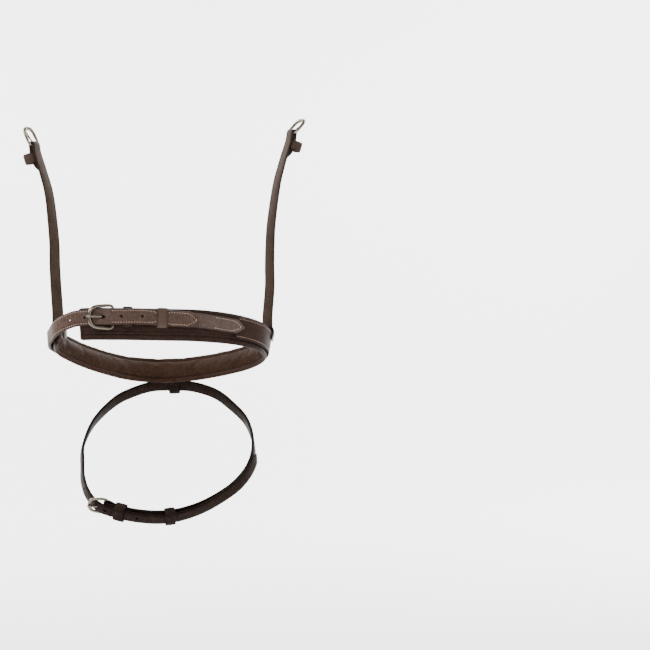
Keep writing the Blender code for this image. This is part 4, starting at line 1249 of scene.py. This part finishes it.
def flash_keepers():
    """Fixed and running keepers round the flash strap's layers."""
    outline = rounded_outline(FLASH_WIDTH / 2 + 0.0014, -0.0030, 0.0104, 0.0028, 0.0002)
    keeper("flash_keeper_fixed", FLASH.basis(FLASH_FIXED_KEEPER_S), outline, 0.0125, 0.0012,
           FLASH_LEATHER, "flash", "flash_leather", "flash_fixed_keeper")
    outline = rounded_outline(FLASH_WIDTH / 2 + 0.0016, -0.0027, 0.0094, 0.0028, 0.0002)
    keeper("flash_keeper_running", FLASH.basis(FLASH_RUNNING_KEEPER_S), outline, 0.0115, 0.0012,
           FLASH_LEATHER, "flash_slider", "flash_leather", "flash_running_keeper")


# ---------------------------------------------------------------- hangers
def hanger_tab(side):
    """Sewn tab over the band's top edge."""
    hanger = HANGERS[side]
    centre = hanger["ring_s"]
    top = pad_half(centre % RING.length) + 0.0026
    inner = -0.0127
    outer = hanger["tab_outer"]
    outline = smooth_path(((top - 0.0140, outer), (top - 0.0020, outer), (top, outer - 0.0020),
                           (top, inner + 0.0020), (top - 0.0020, inner),
                           (top - 0.0160, inner)), step=0.0010)
    strip = local_strip(RING.basis(centre), outline, HANGER_TAB_WIDTH, 0.0014, closed=False)
    flip_grain(strip)
    mesh = strip_mesh("tab_" + side, strip, 0.0012)
    add_piece("tab_" + side, mesh, HANGER_LEATHER, "noseband", "hanger_leather",
              "hanger_tab_" + side)


def hanger(track, side):
    """Narrow hanger strap, folded outwards round its buckle's bar at the top."""
    top = track.length
    wrap = HANGER_BUCKLE["bar"] + 0.0003 + HANGER_THICKNESS / 2
    profile = [(-0.0120, 0.0), (0.0, 0.0), (0.3 * top, 0.0), (0.6 * top, 0.0),
               (top - 0.0300, 0.0), (top - 0.0100, 0.0)]
    profile += fold_knots(top, 0.00125, wrap, 1)[::-1]
    profile += [(top - 0.0085, 0.0055), (top - 0.0208, 0.0055), (top - 0.0290, 0.0031),
                (top - HANGER_TURN_BACK, 0.0028)]
    strip = strap_strip(track, profile, HANGER_WIDTH, HANGER_THICKNESS, ("square", "point"))
    style = dict(STYLE, inset=0.0014, crown=0.00015, depth=0.00022, under=1.0)
    mesh = strip_mesh("hanger_" + side, strip, 0.0024, style)
    slot = strip_basis(strip, float(strip.run[np.argmax(strip.distance)]))
    mesh = punched(mesh, [(slot, 0.0015, 0.006, 2.6)])
    thing = add_piece("hanger_" + side, mesh, HANGER_LEATHER, None, "hanger_leather",
                      "hanger_strap_" + side)
    tuple(track.place(-0.002)[0])
    tuple(track.place(0.022)[0])
    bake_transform(thing)
    matrix = track.basis(top - HANGER_KEEPER_BELOW_BAR)
    outline = rounded_outline(HANGER_WIDTH / 2 + 0.0016, 0.0030, 0.0163, 0.0045, 0.0002)
    keeper("hanger_keeper_loop_" + side, matrix, outline, 0.0115, 0.0013, HANGER_LEATHER,
           "hanger_" + side, "hanger_leather", "hanger_keeper_" + side)


# ---------------------------------------------------------------- studio
def studio():
    """Pale floor and backdrop, soft lights and the camera."""
    floor_material = Shader("studio_floor")
    floor_material.set(Base_Color=(0.93, 0.93, 0.93, 1.0), Roughness=0.9)
    sweep = [(-2.2, -0.62), (1.2, -0.62), (1.7, -0.57), (2.05, -0.40), (2.25, -0.10),
             (2.30, 0.40), (2.30, 3.0)]
    path = smooth_path(sweep, step=0.08)
    rows = np.array([[(x, y, z) for x in (-4.0, 4.0)] for y, z in path])
    mesh = loft("studio_sweep", rows, None, caps=False, wrap=False)
    backdrop = put_object("studio_sweep", mesh)
    mesh.materials.append(floor_material.material)
    soft_light("key", (-0.9, -1.7, 1.1), 0.9, 40.0)
    soft_light("fill", (1.3, -1.5, 0.5), 1.4, 10.0)
    soft_light("back", (0.3, 1.2, 1.5), 1.6, 22.0)
    soft_light("backdrop_left", (-1.6, 0.5, 0.9), 1.2, 130.0, (-0.5, 2.3, 0.0))
    soft_light("backdrop_right", (1.6, 0.5, 0.9), 1.2, 130.0, (0.7, 2.3, 0.0))
    world = bpy.data.worlds.new("studio")
    world.use_nodes = True
    world.node_tree.nodes["Background"].inputs["Color"].default_value = (1.0, 1.0, 1.0, 1.0)
    world.node_tree.nodes["Background"].inputs["Strength"].default_value = 1.0
    bpy.context.scene.world = world
    camera = bpy.data.cameras.new("camera")
    camera.lens = CAMERA_LENS
    camera.sensor_width = 36.0
    camera.clip_start = 0.01
    holder = put_object("camera", camera)
    holder.location = CAMERA_PLACE
    holder.rotation_euler = (math.radians(90.0), 0.0, CAMERA_YAW)
    bpy.context.scene.camera = holder


def soft_light(name, place, size, power, target=(0.0, 0.0, -0.22)):
    """A square softbox aimed at a target, the middle of the noseband unless told otherwise."""
    light = bpy.data.lights.new(name, "AREA")
    light.size = size
    light.energy = power
    holder = put_object(name, light)
    holder.location = place
    aim = Vector(target) - Vector(place)
    holder.rotation_euler = aim.to_track_quat("-Z", "Y").to_euler()


# ---------------------------------------------------------------- making it all
RING = ring_track()
FLASH = flash_track()
BAND_LEATHER = leather_material("band_leather_look", (0.0185, 0.0082, 0.0050), gloss=0.46,
                                shine=0.045)
STRAP_LEATHER = leather_material("strap_leather_look", (0.050, 0.028, 0.020), gloss=0.42,
                                 bloom=0.20)
CHAPE_LEATHER = leather_material("chape_leather_look", (0.060, 0.039, 0.031), gloss=0.38,
                                 bloom=0.15)
# Lighter than the strap leather as a painted highlight on the running keeper.
HIGHLIT_KEEPER_LEATHER = leather_material("keeper_leather_painted_highlight", (0.058, 0.035, 0.026), gloss=0.40)
HANGER_LEATHER = leather_material("hanger_leather_look", (0.034, 0.020, 0.0135), edge=0.22,
                                  gloss=0.45)
FLASH_LEATHER = leather_material("flash_leather_look", (0.0085, 0.0036, 0.0016), gloss=0.46,
                                 shine=0.018)
LINING_LEATHER = leather_material("lining_leather_look", (0.0230, 0.0108, 0.0060), gloss=0.45,
                                  shine=0.02, soft=True)
STEEL = steel_material("polished_steel_painted_dark_reflection")
THREAD_LIGHT = thread_material("thread_light", (0.36, 0.27, 0.20))
THREAD_DARK = thread_material("thread_dark", (0.24, 0.155, 0.10))
FOAM = foam_material("foam_look")

studio()
band_cover()
padded_lining()
foam_core()
overlay()
billet()
chape()
jaw_keepers()
jaw_buckle()
flash_loop()
flash()
flash_keepers()
flash_buckle()
for hand in HANGERS:
    hanger_line = hanger_track(hand)
    hanger_tab(hand)
    hanger(hanger_line, hand)
    hanger_buckle(hanger_line, hand)
